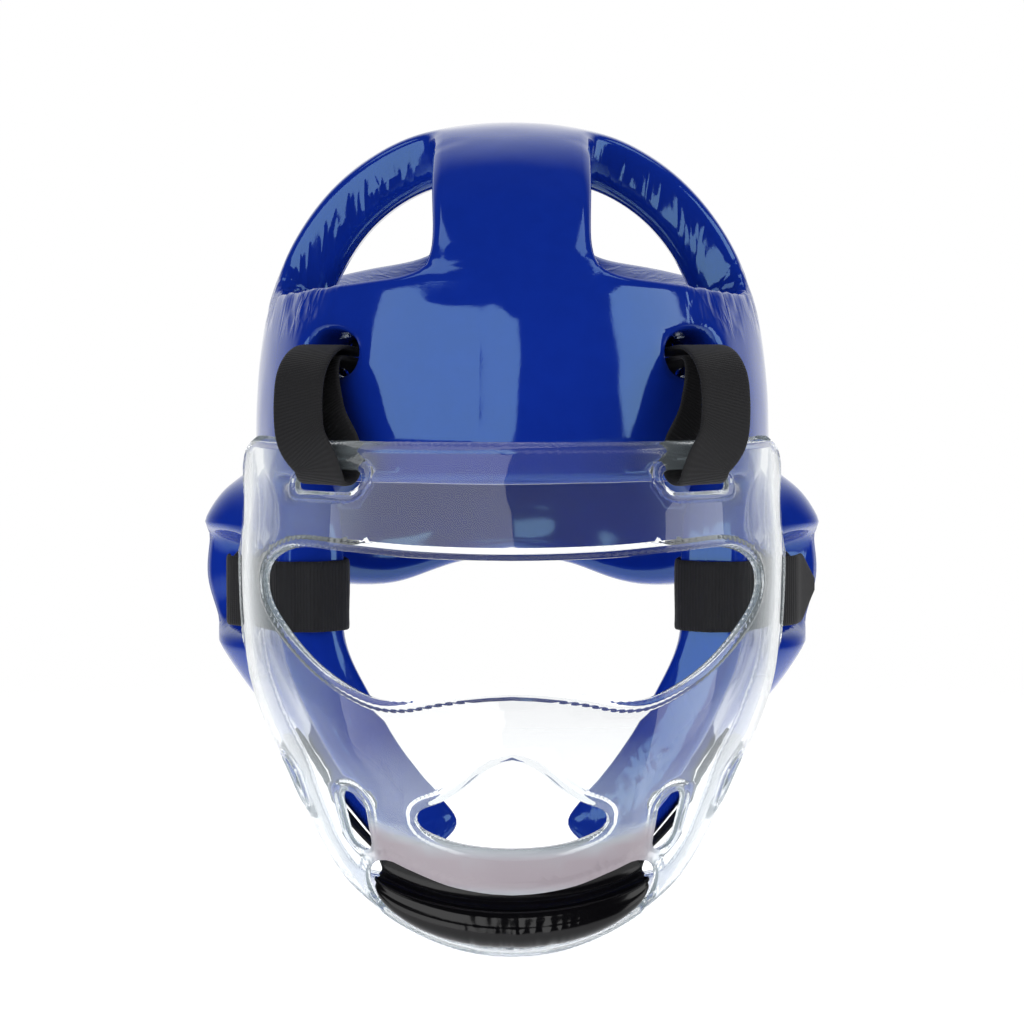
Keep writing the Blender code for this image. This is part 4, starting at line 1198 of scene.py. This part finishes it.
def make_temple_strap(name, side, trees, flare):
    """Strap round the cheek piece, through the ear opening and the shield's temple slot."""
    level = -TEMPLE_DEPTH
    tree = trees[0]

    def on_shell(y, inward):
        start = Vector((0.0 if inward else HEAD_WIDTH, y, level))
        hit = tree.ray_cast(start, Vector((1 if inward else -1, 0, 0)))[0]
        return hit.x

    clear = GAP + TEMPLE_THICKNESS / 2
    front = skin_point(COLUMNS[CHEEK], level)
    hole_front = skin_point(COLUMNS[ARCH_B], level).y
    bead = (SHIELD_BEAD - SHIELD_WALL) / 2
    outside = SHIELD_HALF_WIDTH + bead + clear
    rear = SHIELD_REAR
    inner = [(on_shell(y, True) - clear, y)
             for y in (hole_front - 0.006, front.y + 0.022, front.y + 0.010)]
    outer = [(on_shell(y, False) + clear, y) for y in (front.y + 0.008,)]
    ahead = Vector(((inner[-1][0] + outer[0][0]) / 2, -2 * HEAD_FRONT, level))
    nose = tree.ray_cast(ahead, Vector((0, 1, 0)))[0].y
    second = TEMPLE_THICKNESS + 2 * GAP
    places = [
        (outside, TEMPLE_SLOT_Y + 0.006),
        (outside, rear - 0.004),
        (outside - 0.0015, rear + 0.004),
        ((outside + inner[0][0]) / 2, hole_front + 0.009),
        (inner[0][0] + 0.002, hole_front + 0.005),
        *inner,
        ((inner[-1][0] + outer[0][0]) / 2 - 0.004, nose - clear - 0.0012),
        ((inner[-1][0] + outer[0][0]) / 2 + 0.005, nose - clear - 0.0006),
        (outer[0][0] + 0.0005, outer[0][1] - 0.002),
        (SHIELD_HALF_WIDTH - SHIELD_WALL - bead - clear, TEMPLE_SLOT_Y - 0.002),
        (SHIELD_HALF_WIDTH - SHIELD_WALL / 2, TEMPLE_SLOT_Y + 0.0005),
        (outside + second, TEMPLE_SLOT_Y + 0.007),
        (outside + second + flare * 0.3, rear - 0.008),
        (outside + second + flare, rear + 0.007),
    ]
    route = smooth_path([Vector((side * x, y, level)) for x, y in places], STATIONS["temple"])
    return make_strap(name, route, Vector((0, 0, 1)), TEMPLE_WIDTH, TEMPLE_THICKNESS, trees,
                      tip=TEMPLE_TIP)


def jaw_point(down, share):
    """Point of the jaw flap's outer cage, by share of the way down and from front to back."""
    rows = JAW_ROWS
    index = 0
    while index < len(rows) - 2 and rows[index + 1][0] < down:
        index += 1
    part = (down - rows[index][0]) / (rows[index + 1][0] - rows[index][0])
    _, front_width, back_width, front_y, back_y = (
        blend(a, b, part) for a, b in zip(rows[index], rows[index + 1]))
    half_width, front, _, _ = outer_sizes()
    return Vector((half_width * blend(front_width, back_width, share),
                   front * blend(front_y, back_y, share), -blend(JAW_START, JAW_END, down)))


def make_chin_strap(trees):
    """Webbing along the outer faces of both jaw flaps and under the chin."""
    tree = trees[0]
    clear = GAP + CHIN_STRAP_THICKNESS / 2 + 0.0005
    half = []
    for down in CHIN_STRAP_STATIONS:
        place = jaw_point(down, CHIN_STRAP_LINE)
        along = jaw_point(down + 0.05, CHIN_STRAP_LINE) - jaw_point(down - 0.05, CHIN_STRAP_LINE)
        out = Vector((-along.z, 0.0, along.x)).normalized()
        hit, normal, _, _ = tree.find_nearest(place + out * 0.012)
        half.append(hit + normal * clear)
    onward = (half[-1] - half[-2]).normalized() * CHIN_STRAP_FREE
    half.append(half[-1] + onward - Vector((0, 0, CHIN_STRAP_SAG)))
    chin = half[-1] - Vector((half[-1].x, CHIN_STRAP_SAG, CHIN_STRAP_SAG))
    points = [Vector((-p.x, p.y, p.z)) for p in half] + [chin] + list(reversed(half))
    route = smooth_path(points, STATIONS["chin"])
    return make_strap("chin_webbing", route, Vector((0, 1, 0)), CHIN_STRAP_WIDTH,
                      CHIN_STRAP_THICKNESS, trees)


def surface_tree(thing):
    """Tree of the mesh, which the straps are laid on."""
    bpy.context.view_layer.update()
    return BVHTree.FromObject(thing, bpy.context.evaluated_depsgraph_get())


def pad_ring(share, count):
    """Section of the chin pad at a share of its half length, and its place's lengths."""
    swell = (1 - abs(share) ** 6) ** 0.5
    height = CHIN_PAD_HEIGHT * blend(CHIN_PAD_END, 1.0, swell)
    core = CHIN_PAD_CORE * (CHIN_PAD_HEIGHT - height)
    run_from = on_shield(CHIN_PAD_REACH * share, CHIN_PAD_DOWN - CHIN_PAD_RISE * share ** 2)
    place = shield_point(*run_from)
    normal = shield_normal(*run_from)
    slope = (shield_point(run_from[0], run_from[1] + 0.001) - place).normalized()
    outline = smooth_loop([(down, out) for down, out in CHIN_PAD_SECTION], count)
    return [place + slope * down * height + normal * (core + out * height) for down, out in outline]


def make_chin_pad(trees, crease_depth):
    """Curved cushion lying in the shield's chin and rolling out through its cut-out."""
    mesh = bmesh.new()
    shares = [2 * number / (PAD_RINGS - 1) - 1 for number in range(PAD_RINGS)]
    rings = [[mesh.verts.new(p) for p in pad_ring(PAD_SPAN * share, PAD_RING_POINTS)]
             for share in shares]
    for ring, following in zip(rings, rings[1:]):
        for i in range(PAD_RING_POINTS):
            j = (i + 1) % PAD_RING_POINTS
            mesh.faces.new((ring[i], ring[j], following[j], following[i]))
    mesh.faces.new(rings[0])
    mesh.faces.new(list(reversed(rings[-1])))
    bmesh.ops.recalc_face_normals(mesh, faces=mesh.faces)
    mesh.normal_update()
    half_length, middle, half_round, waves_along, waves_round, level = PAD_RIPPLES
    depths = {}
    for share, ring in zip(shares, rings):
        along = max(0.0, 1 - (share / half_length) ** 2)
        for i, vertex in enumerate(ring):
            part = i / PAD_RING_POINTS
            fold = sum(
                deep * max(0.0, 1 - ((part - spot - bend * share ** 2) / PAD_FOLD_HALF) ** 2)
                for spot, deep, bend in PAD_FOLDS)
            ripple = along * max(0.0, 1 - ((part - middle) / half_round) ** 2)
            wave = noise.noise(Vector((waves_along * share, waves_round * part, 0.7)))
            depths[vertex] = crease_depth * (fold + level * ripple * max(0.0, wave) ** 0.7)
    for vertex, depth in depths.items():
        vertex.co -= vertex.normal * depth
    settle(mesh.verts, trees, GAP)
    return link_mesh("chin_cushion", mesh)


class Line:
    """A shader socket that takes part in Python sums."""

    def __init__(self, maker, socket):
        self.maker = maker
        self.socket = socket

    def join(self, operation, first, second):
        return self.maker.node("ShaderNodeMath", {"operation": operation}, [first, second])

    def __add__(self, other):
        return self.join("ADD", self, other)

    def __radd__(self, other):
        return self.join("ADD", other, self)

    def __sub__(self, other):
        return self.join("SUBTRACT", self, other)

    def __rsub__(self, other):
        return self.join("SUBTRACT", other, self)

    def __mul__(self, other):
        return self.join("MULTIPLY", self, other)

    def __rmul__(self, other):
        return self.join("MULTIPLY", other, self)

    def __pow__(self, other):
        return self.join("POWER", self, other)

    def sine(self):
        """Sine of the value."""
        return self.maker.node("ShaderNodeMath", {"operation": "SINE"}, [self])

    def size(self):
        """The value without its sign."""
        return self.maker.node("ShaderNodeMath", {"operation": "ABSOLUTE"}, [self])

    def over(self, low, high):
        """Share of the way from low to high, smoothly, kept between 0 and 1."""
        return self.maker.node(
            "ShaderNodeMapRange", {"interpolation_type": "SMOOTHSTEP"},
            {"Value": self, "From Min": low, "From Max": high}, "Result")


class Nodes:
    """A node tree under construction: each of its nodes comes from the node method."""

    def __init__(self, tree):
        self.tree = tree
        tree.nodes.clear()

    def node(self, kind, settings=None, values=(), output=0):
        """Add a node: its settings first, then the values or links of its sockets."""
        made = self.tree.nodes.new(kind)
        for name, value in (settings or {}).items():
            setattr(made, name, value)
        pairs = values.items() if isinstance(values, dict) else enumerate(values)
        for key, value in pairs:
            if isinstance(value, Line):
                self.tree.links.new(value.socket, made.inputs[key])
            else:
                made.inputs[key].default_value = value
        return Line(self, made.outputs[output] if made.outputs else None)


class Finish(Nodes):
    """A material under construction."""

    def __init__(self, name):
        self.material = bpy.data.materials.new(name)
        self.material.use_nodes = True
        super().__init__(self.material.node_tree)

    def place(self):
        """Place on the object, in metres."""
        return self.node("ShaderNodeTexCoord", output="Object")

    def noise(self, place, scale, detail=3.0, roughness=0.5, warp=0.0):
        return self.node("ShaderNodeTexNoise", {"noise_dimensions": "3D"},
                         {"Vector": place, "Scale": scale, "Detail": detail, "Roughness": roughness,
                          "Distortion": warp}, "Fac")

    def stretch(self, place, scale):
        return self.node("ShaderNodeMapping", {"vector_type": "POINT"},
                         {"Vector": place, "Scale": scale}, "Vector")

    def number(self, name):
        """A number kept with the mesh's points."""
        return self.node("ShaderNodeAttribute", {"attribute_name": name}, output="Fac")

    def mix(self, share, first, second):
        return self.node("ShaderNodeMix", {"data_type": "RGBA"},
                         {"Factor": share, 6: first, 7: second}, 2)

    def bump(self, height, distance, strength=1.0, under=None):
        values = {"Strength": strength, "Distance": distance, "Height": height}
        if under is not None:
            values["Normal"] = under
        return self.node("ShaderNodeBump", {}, values, "Normal")

    def surface(self, **values):
        """Principled surface, with underscores for the spaces in its sockets' names."""
        return self.node("ShaderNodeBsdfPrincipled", {},
                         {name.replace("_", " "): value for name, value in values.items()})

    def finish(self, shader):
        self.node("ShaderNodeOutputMaterial", {}, {"Surface": shader})
        return self.material


def dipped_vinyl(name, colour, gleam, shine, roughness, folds):
    """Glossy skin of a dipped foam: a slow unevenness, fine pores and crinkles where it bunches."""
    made = Finish(name)
    place = made.place()
    folded = made.number("folded") if folds else 0.0
    slow = made.noise(place, 30.0, 2.0, 0.45)
    patches = made.noise(place, 140.0, 4.0, 0.6)
    pores = made.noise(place, 900.0, 2.0, 0.6)
    dark = tuple(c * 0.93 for c in colour)
    tint = made.mix(patches.over(0.30, 0.72), (*dark, 1.0), (*colour, 1.0))
    rough = roughness + 0.03 * patches + 0.02 * pores
    relief = made.bump(slow, 0.0010, 0.25)
    if folds:
        wavy = made.noise(made.stretch(place, (120.0, 120.0, 26.0)), 1.0, 2.0, 0.5, 0.4)
        ridges = 1.0 - (wavy * 2.0 - 1.0).size()
        relief = made.bump(ridges ** 3.0 * folded, 0.0013, 0.6, relief)
    relief = made.bump(pores, 0.00005, 0.25, relief)
    shader = made.surface(Base_Color=tint, Roughness=rough, Metallic=0.0, IOR=1.5, Normal=relief,
                          Specular_IOR_Level=shine, Specular_Tint=(*gleam, 1.0))
    return made.finish(shader)


def clear_sheet(name, tint, chin_shade_tint, roughness):
    """Moulded clear plastic that lets the lamps through, faintly hazed in its roughness and scuffed.
    A milky surface mixed into it paints shade and reflection over the chin and a pale reflection of
    the ground elsewhere.
    """
    made = Finish(name)
    place = made.place()
    scuffs = made.noise(made.stretch(place, (60.0, 60.0, 260.0)), 1.0, 4.0, 0.6, 0.4)
    haze = made.noise(place, 30.0, 3.0, 0.5)
    rough = roughness + 0.035 * scuffs.over(0.62, 0.85) + 0.010 * haze
    flow = made.bump(haze, 0.0004, 0.15)
    glass = made.surface(Base_Color=(*tint, 1.0), Roughness=rough, Metallic=0.0, IOR=1.49,
                         Transmission_Weight=1.0, Normal=flow)
    painted_chin_shade = made.number("painted_chin_shade")
    # Colour of the painted light: pale blue for the painted reflection of the ground, the tint for
    # the painted chin shade.
    shade_and_reflection_colour = made.mix(painted_chin_shade, (0.74, 0.86, 0.92, 1.0), (*chin_shade_tint, 1.0))
    painted_shade_and_reflection = made.surface(Base_Color=shade_and_reflection_colour, Roughness=0.3, Metallic=0.0, IOR=1.49)
    # Share of the milky painted shade and reflection in the wall.
    painted_light_share = painted_chin_shade * 0.62 + made.number("painted_reflection") * 0.13
    wall = made.node("ShaderNodeMixShader", {}, [painted_light_share, glass, painted_shade_and_reflection])
    passing = made.node("ShaderNodeBsdfTransparent", {}, {"Color": (*tint, 1.0)})
    shadow = made.node("ShaderNodeLightPath", output="Is Shadow Ray")
    return made.finish(made.node("ShaderNodeMixShader", {}, [shadow, wall, passing]))


def woven(name, colour, pitch, rib_depth, sheen):
    """Ribbed weave across a strap, with finer threads along it and firm selvedges."""
    made = Finish(name)
    spot = made.node("ShaderNodeUVMap", {"uv_map": "Weave"}, output="UV")
    over, along = (made.node("ShaderNodeSeparateXYZ", {}, [spot], axis) for axis in "XY")
    drift = made.noise(made.place(), 180.0, 2.0, 0.5)
    ribs = (along * (2 * pi / pitch) + drift * 1.2).sine() * 0.5 + 0.5
    threads = (over * (2 * pi / (pitch * 0.62))).sine() * 0.5 + 0.5
    fuzz = made.noise(made.place(), 1500.0, 2.0, 0.7)
    height = ribs * 0.55 + threads * ribs * 0.35 + fuzz * 0.3
    relief = made.bump(height, rib_depth, 0.9)
    bright = tuple(c * 1.5 + 0.001 for c in colour)
    tint = made.mix((ribs * 0.35 + fuzz * 0.65).over(0.35, 0.95), (*colour, 1.0), (*bright, 1.0))
    shader = made.surface(Base_Color=tint, Roughness=0.72, Metallic=0.0, Normal=relief,
                          Sheen_Weight=sheen, Sheen_Roughness=0.4, Specular_IOR_Level=0.3)
    return made.finish(shader)


def plain_ground(name, colour, glow):
    """Pale matt studio ground that ends softly in the white round it."""
    made = Finish(name)
    place = made.place()
    grain = made.noise(place, 6.0, 2.0, 0.5)
    low = tuple(c * 0.985 for c in colour)
    tint = made.mix(grain, (*low, 1.0), (*colour, 1.0))
    near = 1.0 - made.number("outward").over(0.10, 0.60)
    return made.finish(made.surface(Base_Color=tint, Roughness=0.75, Metallic=0.0, Alpha=near,
                                    Emission_Color=(1.0, 1.0, 1.0, 1.0), Emission_Strength=glow))


def dress(thing, material, nodes):
    """Give a piece its finish, and let it stand for its solids on the headgear's one body."""
    thing.data.materials.clear()
    thing.data.materials.append(material)
    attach(thing, "root")
    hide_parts(*nodes)
    return thing


def need(name):
    """A piece made by an earlier step."""
    thing = bpy.data.objects.get(name)
    if thing is None:
        raise RuntimeError(f"{name} isn't there: build it first")
    return thing


def aim(thing, target):
    """Turn a camera or lamp to look at a point."""
    way = Vector(target) - thing.location
    thing.rotation_euler = way.to_track_quat("-Z", "Y").to_euler()


def add_ground(floor_z, colour, glow):
    """Round ground below the headgear, with a number that grows outward for its soft end."""
    data = bpy.data.meshes.new("studio_ground")
    corners = [(0.0, 0.0, floor_z)]
    for ring in range(1, GROUND_RINGS + 1):
        radius = GROUND_RADIUS * ring / GROUND_RINGS
        for spoke in range(GROUND_SPOKES):
            turn = 2 * pi * spoke / GROUND_SPOKES
            corners.append((radius * cos(turn), radius * sin(turn), floor_z))
    faces = [(0, 1 + i, 1 + (i + 1) % GROUND_SPOKES) for i in range(GROUND_SPOKES)]
    for ring in range(GROUND_RINGS - 1):
        start = 1 + ring * GROUND_SPOKES
        onward = start + GROUND_SPOKES
        for i in range(GROUND_SPOKES):
            j = (i + 1) % GROUND_SPOKES
            faces.append((start + i, onward + i, onward + j, start + j))
    data.from_pydata(corners, [], faces)
    store_number(data, "outward", [hypot(x, y) / GROUND_RADIUS for x, y, _ in corners])
    data.materials.append(plain_ground("pale_ground", colour, glow))
    ground = bpy.data.objects.new("studio_ground", data)
    bpy.context.scene.collection.objects.link(ground)
    return ground


def add_lamps(middle, share):
    """Panel lamps round the headgear, which the clear shield lets through without showing them."""
    for name, bearing, rise, distance, width, height, glow, mirrored in STUDIO_LAMPS:
        data = bpy.data.lights.new(name, "AREA")
        data.shape = "RECTANGLE"
        data.size = width
        data.size_y = height
        data.energy = glow * width * height * pi * share
        lamp = bpy.data.objects.new(name, data)
        bpy.context.scene.collection.objects.link(lamp)
        turn = radians(bearing)
        lamp.location = middle + Vector((distance * sin(turn), -distance * cos(turn), rise))
        aim(lamp, middle)
        lamp.visible_glossy = mirrored
        lamp.visible_transmission = False


def add_camera(middle, distance):
    """Camera at the photograph's place and with its angle of view."""
    data = bpy.data.cameras.new("camera")
    data.sensor_width = SENSOR_WIDTH
    data.lens = SENSOR_WIDTH * CAMERA_PIXELS / FRAME_PIXELS
    camera = bpy.data.objects.new("camera", data)
    bpy.context.scene.collection.objects.link(camera)
    camera.location = (0.0, -distance, CAMERA_HEIGHT)
    aim(camera, middle)
    return camera


def light_world(dim):
    """White behind the headgear and wherever the background shows, dim behind the camera."""
    world = bpy.data.worlds.new("pale_studio")
    world.use_nodes = True
    made = Nodes(world.node_tree)
    way = made.node("ShaderNodeTexCoord", output="Generated")
    depth = made.node("ShaderNodeSeparateXYZ", {}, [way], "Y")
    behind = made.node("ShaderNodeMapRange", {"interpolation_type": "SMOOTHSTEP"},
                       {"Value": depth, "From Min": DIM_TO, "From Max": WHITE_FROM,
                        "To Min": dim, "To Max": 1.0})
    seen = made.node("ShaderNodeLightPath", output="Is Camera Ray")
    strength = made.node("ShaderNodeMix", {}, {"Factor": seen, 2: behind, 3: 1.0})
    white = made.node("ShaderNodeBackground", {},
                      {"Color": (1.0, 1.0, 1.0, 1.0), "Strength": strength})
    made.node("ShaderNodeOutputWorld", {}, {"Surface": white})
    return world


class ShellSettings(bpy.types.PropertyGroup):
    levels: IntProperty(name="Rounding", description="Rounds of subdivision of the foam", default=3,
                        min=1, max=3)
    fold_depth: FloatProperty(name="Fold depth", description="Share of the folds' full depth",
                              default=1.0, min=0.0, max=2.0, subtype="FACTOR")
    unevenness: FloatProperty(name="Unevenness", description="Slow swelling of the dipped skin",
                              default=0.00035, min=0.0, max=0.002, unit="LENGTH", precision=5)
    colour: FloatVectorProperty(name="Colour", description="Colour of the dipped vinyl",
                                default=(0.0042, 0.024, 0.290), subtype="COLOR", size=3, min=0.0,
                                max=1.0)
    gleam: FloatVectorProperty(name="Gleam", description="Tint of the vinyl's reflections",
                               default=(0.40, 0.75, 1.0), subtype="COLOR", size=3, min=0.0, max=1.0)
    roughness: FloatProperty(name="Roughness", description="Roughness of the dipped vinyl",
                             default=0.05, min=0.0, max=1.0, subtype="FACTOR")


class ShieldSettings(bpy.types.PropertyGroup):
    spacing: FloatProperty(name="Spacing", description="Distance between the sheet's mesh points",
                           default=FINE_SPACING, min=0.002, max=0.02, unit="LENGTH", precision=5)
    bead_rise: FloatProperty(name="Bead rise", description="How far the rims' bead stands proud",
                             default=0.0007, min=0.0, max=0.004, unit="LENGTH", precision=5)
    tint: FloatVectorProperty(name="Tint", description="Tint of the clear plastic",
                              default=(0.955, 0.965, 0.975), subtype="COLOR", size=3, min=0.0,
                              max=1.0)
    # Colour of the painted shade and reflection over the chin.
    painted_shade_and_reflection: FloatVectorProperty(name="Painted shade tint", description="Colour of the painted chin shade",
                              default=(0.36, 0.315, 0.35), subtype="COLOR", size=3, min=0.0,
                              max=1.0)
    roughness: FloatProperty(name="Roughness", description="Roughness of the clear plastic",
                             default=0.012, min=0.0, max=1.0, subtype="FACTOR")


class PadSettings(bpy.types.PropertyGroup):
    crease_depth: FloatProperty(name="Roll depth", description="Depth of the rolls along the pad",
                                default=0.0012, min=0.0, max=0.004, unit="LENGTH", precision=5)
    colour: FloatVectorProperty(name="Colour", description="Colour of the chin pad's vinyl",
                                default=(0.0022, 0.0021, 0.0028), subtype="COLOR", size=3, min=0.0,
                                max=1.0)


class StrapSettings(bpy.types.PropertyGroup):
    rib_pitch: FloatProperty(name="Rib pitch", description="Distance between the weave's ribs",
                             default=0.00125, min=0.0004, max=0.004, unit="LENGTH", precision=5)
    colour: FloatVectorProperty(name="Colour", description="Colour of the straps",
                                default=(0.0055, 0.0055, 0.0068), subtype="COLOR", size=3, min=0.0,
                                max=1.0)
    chin_strap: BoolProperty(name="Chin strap", description="Build the strap under the chin",
                             default=True)


class StageSettings(bpy.types.PropertyGroup):
    distance: FloatProperty(name="Camera distance", description="From the camera to the headgear",
                            default=1.30, min=0.4, max=5.0, unit="LENGTH")
    ground: FloatVectorProperty(name="Ground", description="Colour of the ground and background",
                                default=(0.93, 0.93, 0.94), subtype="COLOR", size=3, min=0.0,
                                max=1.0)
    ground_glow: FloatProperty(name="Ground glow", description="Light that the ground itself gives",
                               default=0.55, min=0.0, max=5.0)
    surround: FloatProperty(name="Surround", description="Light from the studio behind the camera",
                            default=0.025, min=0.0, max=2.0)
    lamp_power: FloatProperty(name="Lamp power", description="Share of the lamps' own power",
                              default=1.0, min=0.0, max=10.0)


class HEADGEAR_OT_shell(bpy.types.Operator):
    """Build the padded shell"""

    bl_idname = "headgear.shell"
    bl_label = "Padded shell"

    def execute(self, context):
        settings = context.scene.headgear_shell
        shell = make_shell(settings.levels, settings.fold_depth, settings.unevenness)
        vinyl = dipped_vinyl("blue_dipped_vinyl", tuple(settings.colour), tuple(settings.gleam),
                             0.9, settings.roughness, True)
        dress(shell, vinyl, ["foam_shell"])
        return {"FINISHED"}


class HEADGEAR_OT_shield(bpy.types.Operator):
    """Build the clear face shield"""

    bl_idname = "headgear.shield"
    bl_label = "Face shield"

    def execute(self, context):
        settings = context.scene.headgear_shield
        shield = make_shield(settings.spacing, settings.bead_rise)
        clear = clear_sheet("clear_moulded_plastic", tuple(settings.tint), tuple(settings.painted_shade_and_reflection),
                            settings.roughness)
        dress(shield, clear, ["face_shield"])
        return {"FINISHED"}


class HEADGEAR_OT_chin_pad(bpy.types.Operator):
    """Build the chin pad in the shield"""

    bl_idname = "headgear.chin_pad"
    bl_label = "Chin pad"

    def execute(self, context):
        settings = context.scene.headgear_pad
        pad = make_chin_pad([surface_tree(need("clear_shield"))], settings.crease_depth)
        vinyl = dipped_vinyl("black_glossy_vinyl", tuple(settings.colour), (1.0, 1.0, 1.0), 0.30,
                             0.13, False)
        dress(pad, vinyl, ["chin_pad"])
        return {"FINISHED"}


class HEADGEAR_OT_straps(bpy.types.Operator):
    """Build the brow, temple and chin straps"""

    bl_idname = "headgear.straps"
    bl_label = "Straps"

    def execute(self, context):
        settings = context.scene.headgear_straps
        trees = [surface_tree(need("padded_shell")), surface_tree(need("clear_shield"))]
        elastic = woven("black_ribbed_elastic", tuple(settings.colour), settings.rib_pitch,
                        0.00018, 0.04)
        webbing = woven("black_flat_webbing", tuple(settings.colour), settings.rib_pitch * 1.5,
                        0.00020, 0.04)
        sides = ((-1, "right", TEMPLE_FLARE_RIGHT), (1, "left", TEMPLE_FLARE_LEFT))
        for side, word, flare in sides:
            brow = make_brow_strap("brow_elastic_" + word, side, trees)
            dress(brow, elastic, ["brow_strap_" + word])
            temple = make_temple_strap("temple_elastic_" + word, side, trees, flare)
            dress(temple, elastic, ["temple_strap_" + word])
        if settings.chin_strap:
            dress(make_chin_strap(trees), webbing, ["chin_strap"])
        return {"FINISHED"}


class HEADGEAR_OT_stage(bpy.types.Operator):
    """Set up the ground, lamps and camera"""

    bl_idname = "headgear.stage"
    bl_label = "Stage"

    def execute(self, context):
        settings = context.scene.headgear_stage
        scene = context.scene
        low, high = FIRST_BOUNDS
        middle = (Vector(low) + Vector(high)) / 2
        add_ground(low[2] - GROUND_DROP, tuple(settings.ground), settings.ground_glow)
        scene.world = light_world(settings.surround)
        add_lamps(middle, settings.lamp_power)
        scene.camera = add_camera(middle, settings.distance)
        scene.view_settings.view_transform = "Standard"
        return {"FINISHED"}


STEPS = (
    ("headgear_shell", ShellSettings, HEADGEAR_OT_shell),
    ("headgear_shield", ShieldSettings, HEADGEAR_OT_shield),
    ("headgear_pad", PadSettings, HEADGEAR_OT_chin_pad),
    ("headgear_straps", StrapSettings, HEADGEAR_OT_straps),
    ("headgear_stage", StageSettings, HEADGEAR_OT_stage),
)


class HEADGEAR_PT_sidebar(bpy.types.Panel):
    bl_idname = "HEADGEAR_PT_sidebar"
    bl_label = "Headgear"
    bl_space_type = "VIEW_3D"
    bl_region_type = "UI"
    bl_category = "Headgear"

    def draw(self, context):
        for name, group, operator in STEPS:
            box = self.layout.box()
            settings = getattr(context.scene, name)
            for key in group.__annotations__:
                box.prop(settings, key)
            box.operator(operator.bl_idname)


def register():
    for name, group, operator in STEPS:
        bpy.utils.register_class(group)
        bpy.utils.register_class(operator)
        setattr(bpy.types.Scene, name, PointerProperty(type=group))
    bpy.utils.register_class(HEADGEAR_PT_sidebar)


def unregister():
    bpy.utils.unregister_class(HEADGEAR_PT_sidebar)
    for name, group, operator in reversed(STEPS):
        delattr(bpy.types.Scene, name)
        bpy.utils.unregister_class(operator)
        bpy.utils.unregister_class(group)


def main():
    register()
    bpy.ops.headgear.shell()
    bpy.ops.headgear.shield()
    bpy.ops.headgear.chin_pad()
    bpy.ops.headgear.straps()
    bpy.ops.headgear.stage()


if __name__ == "__main__":
    main()
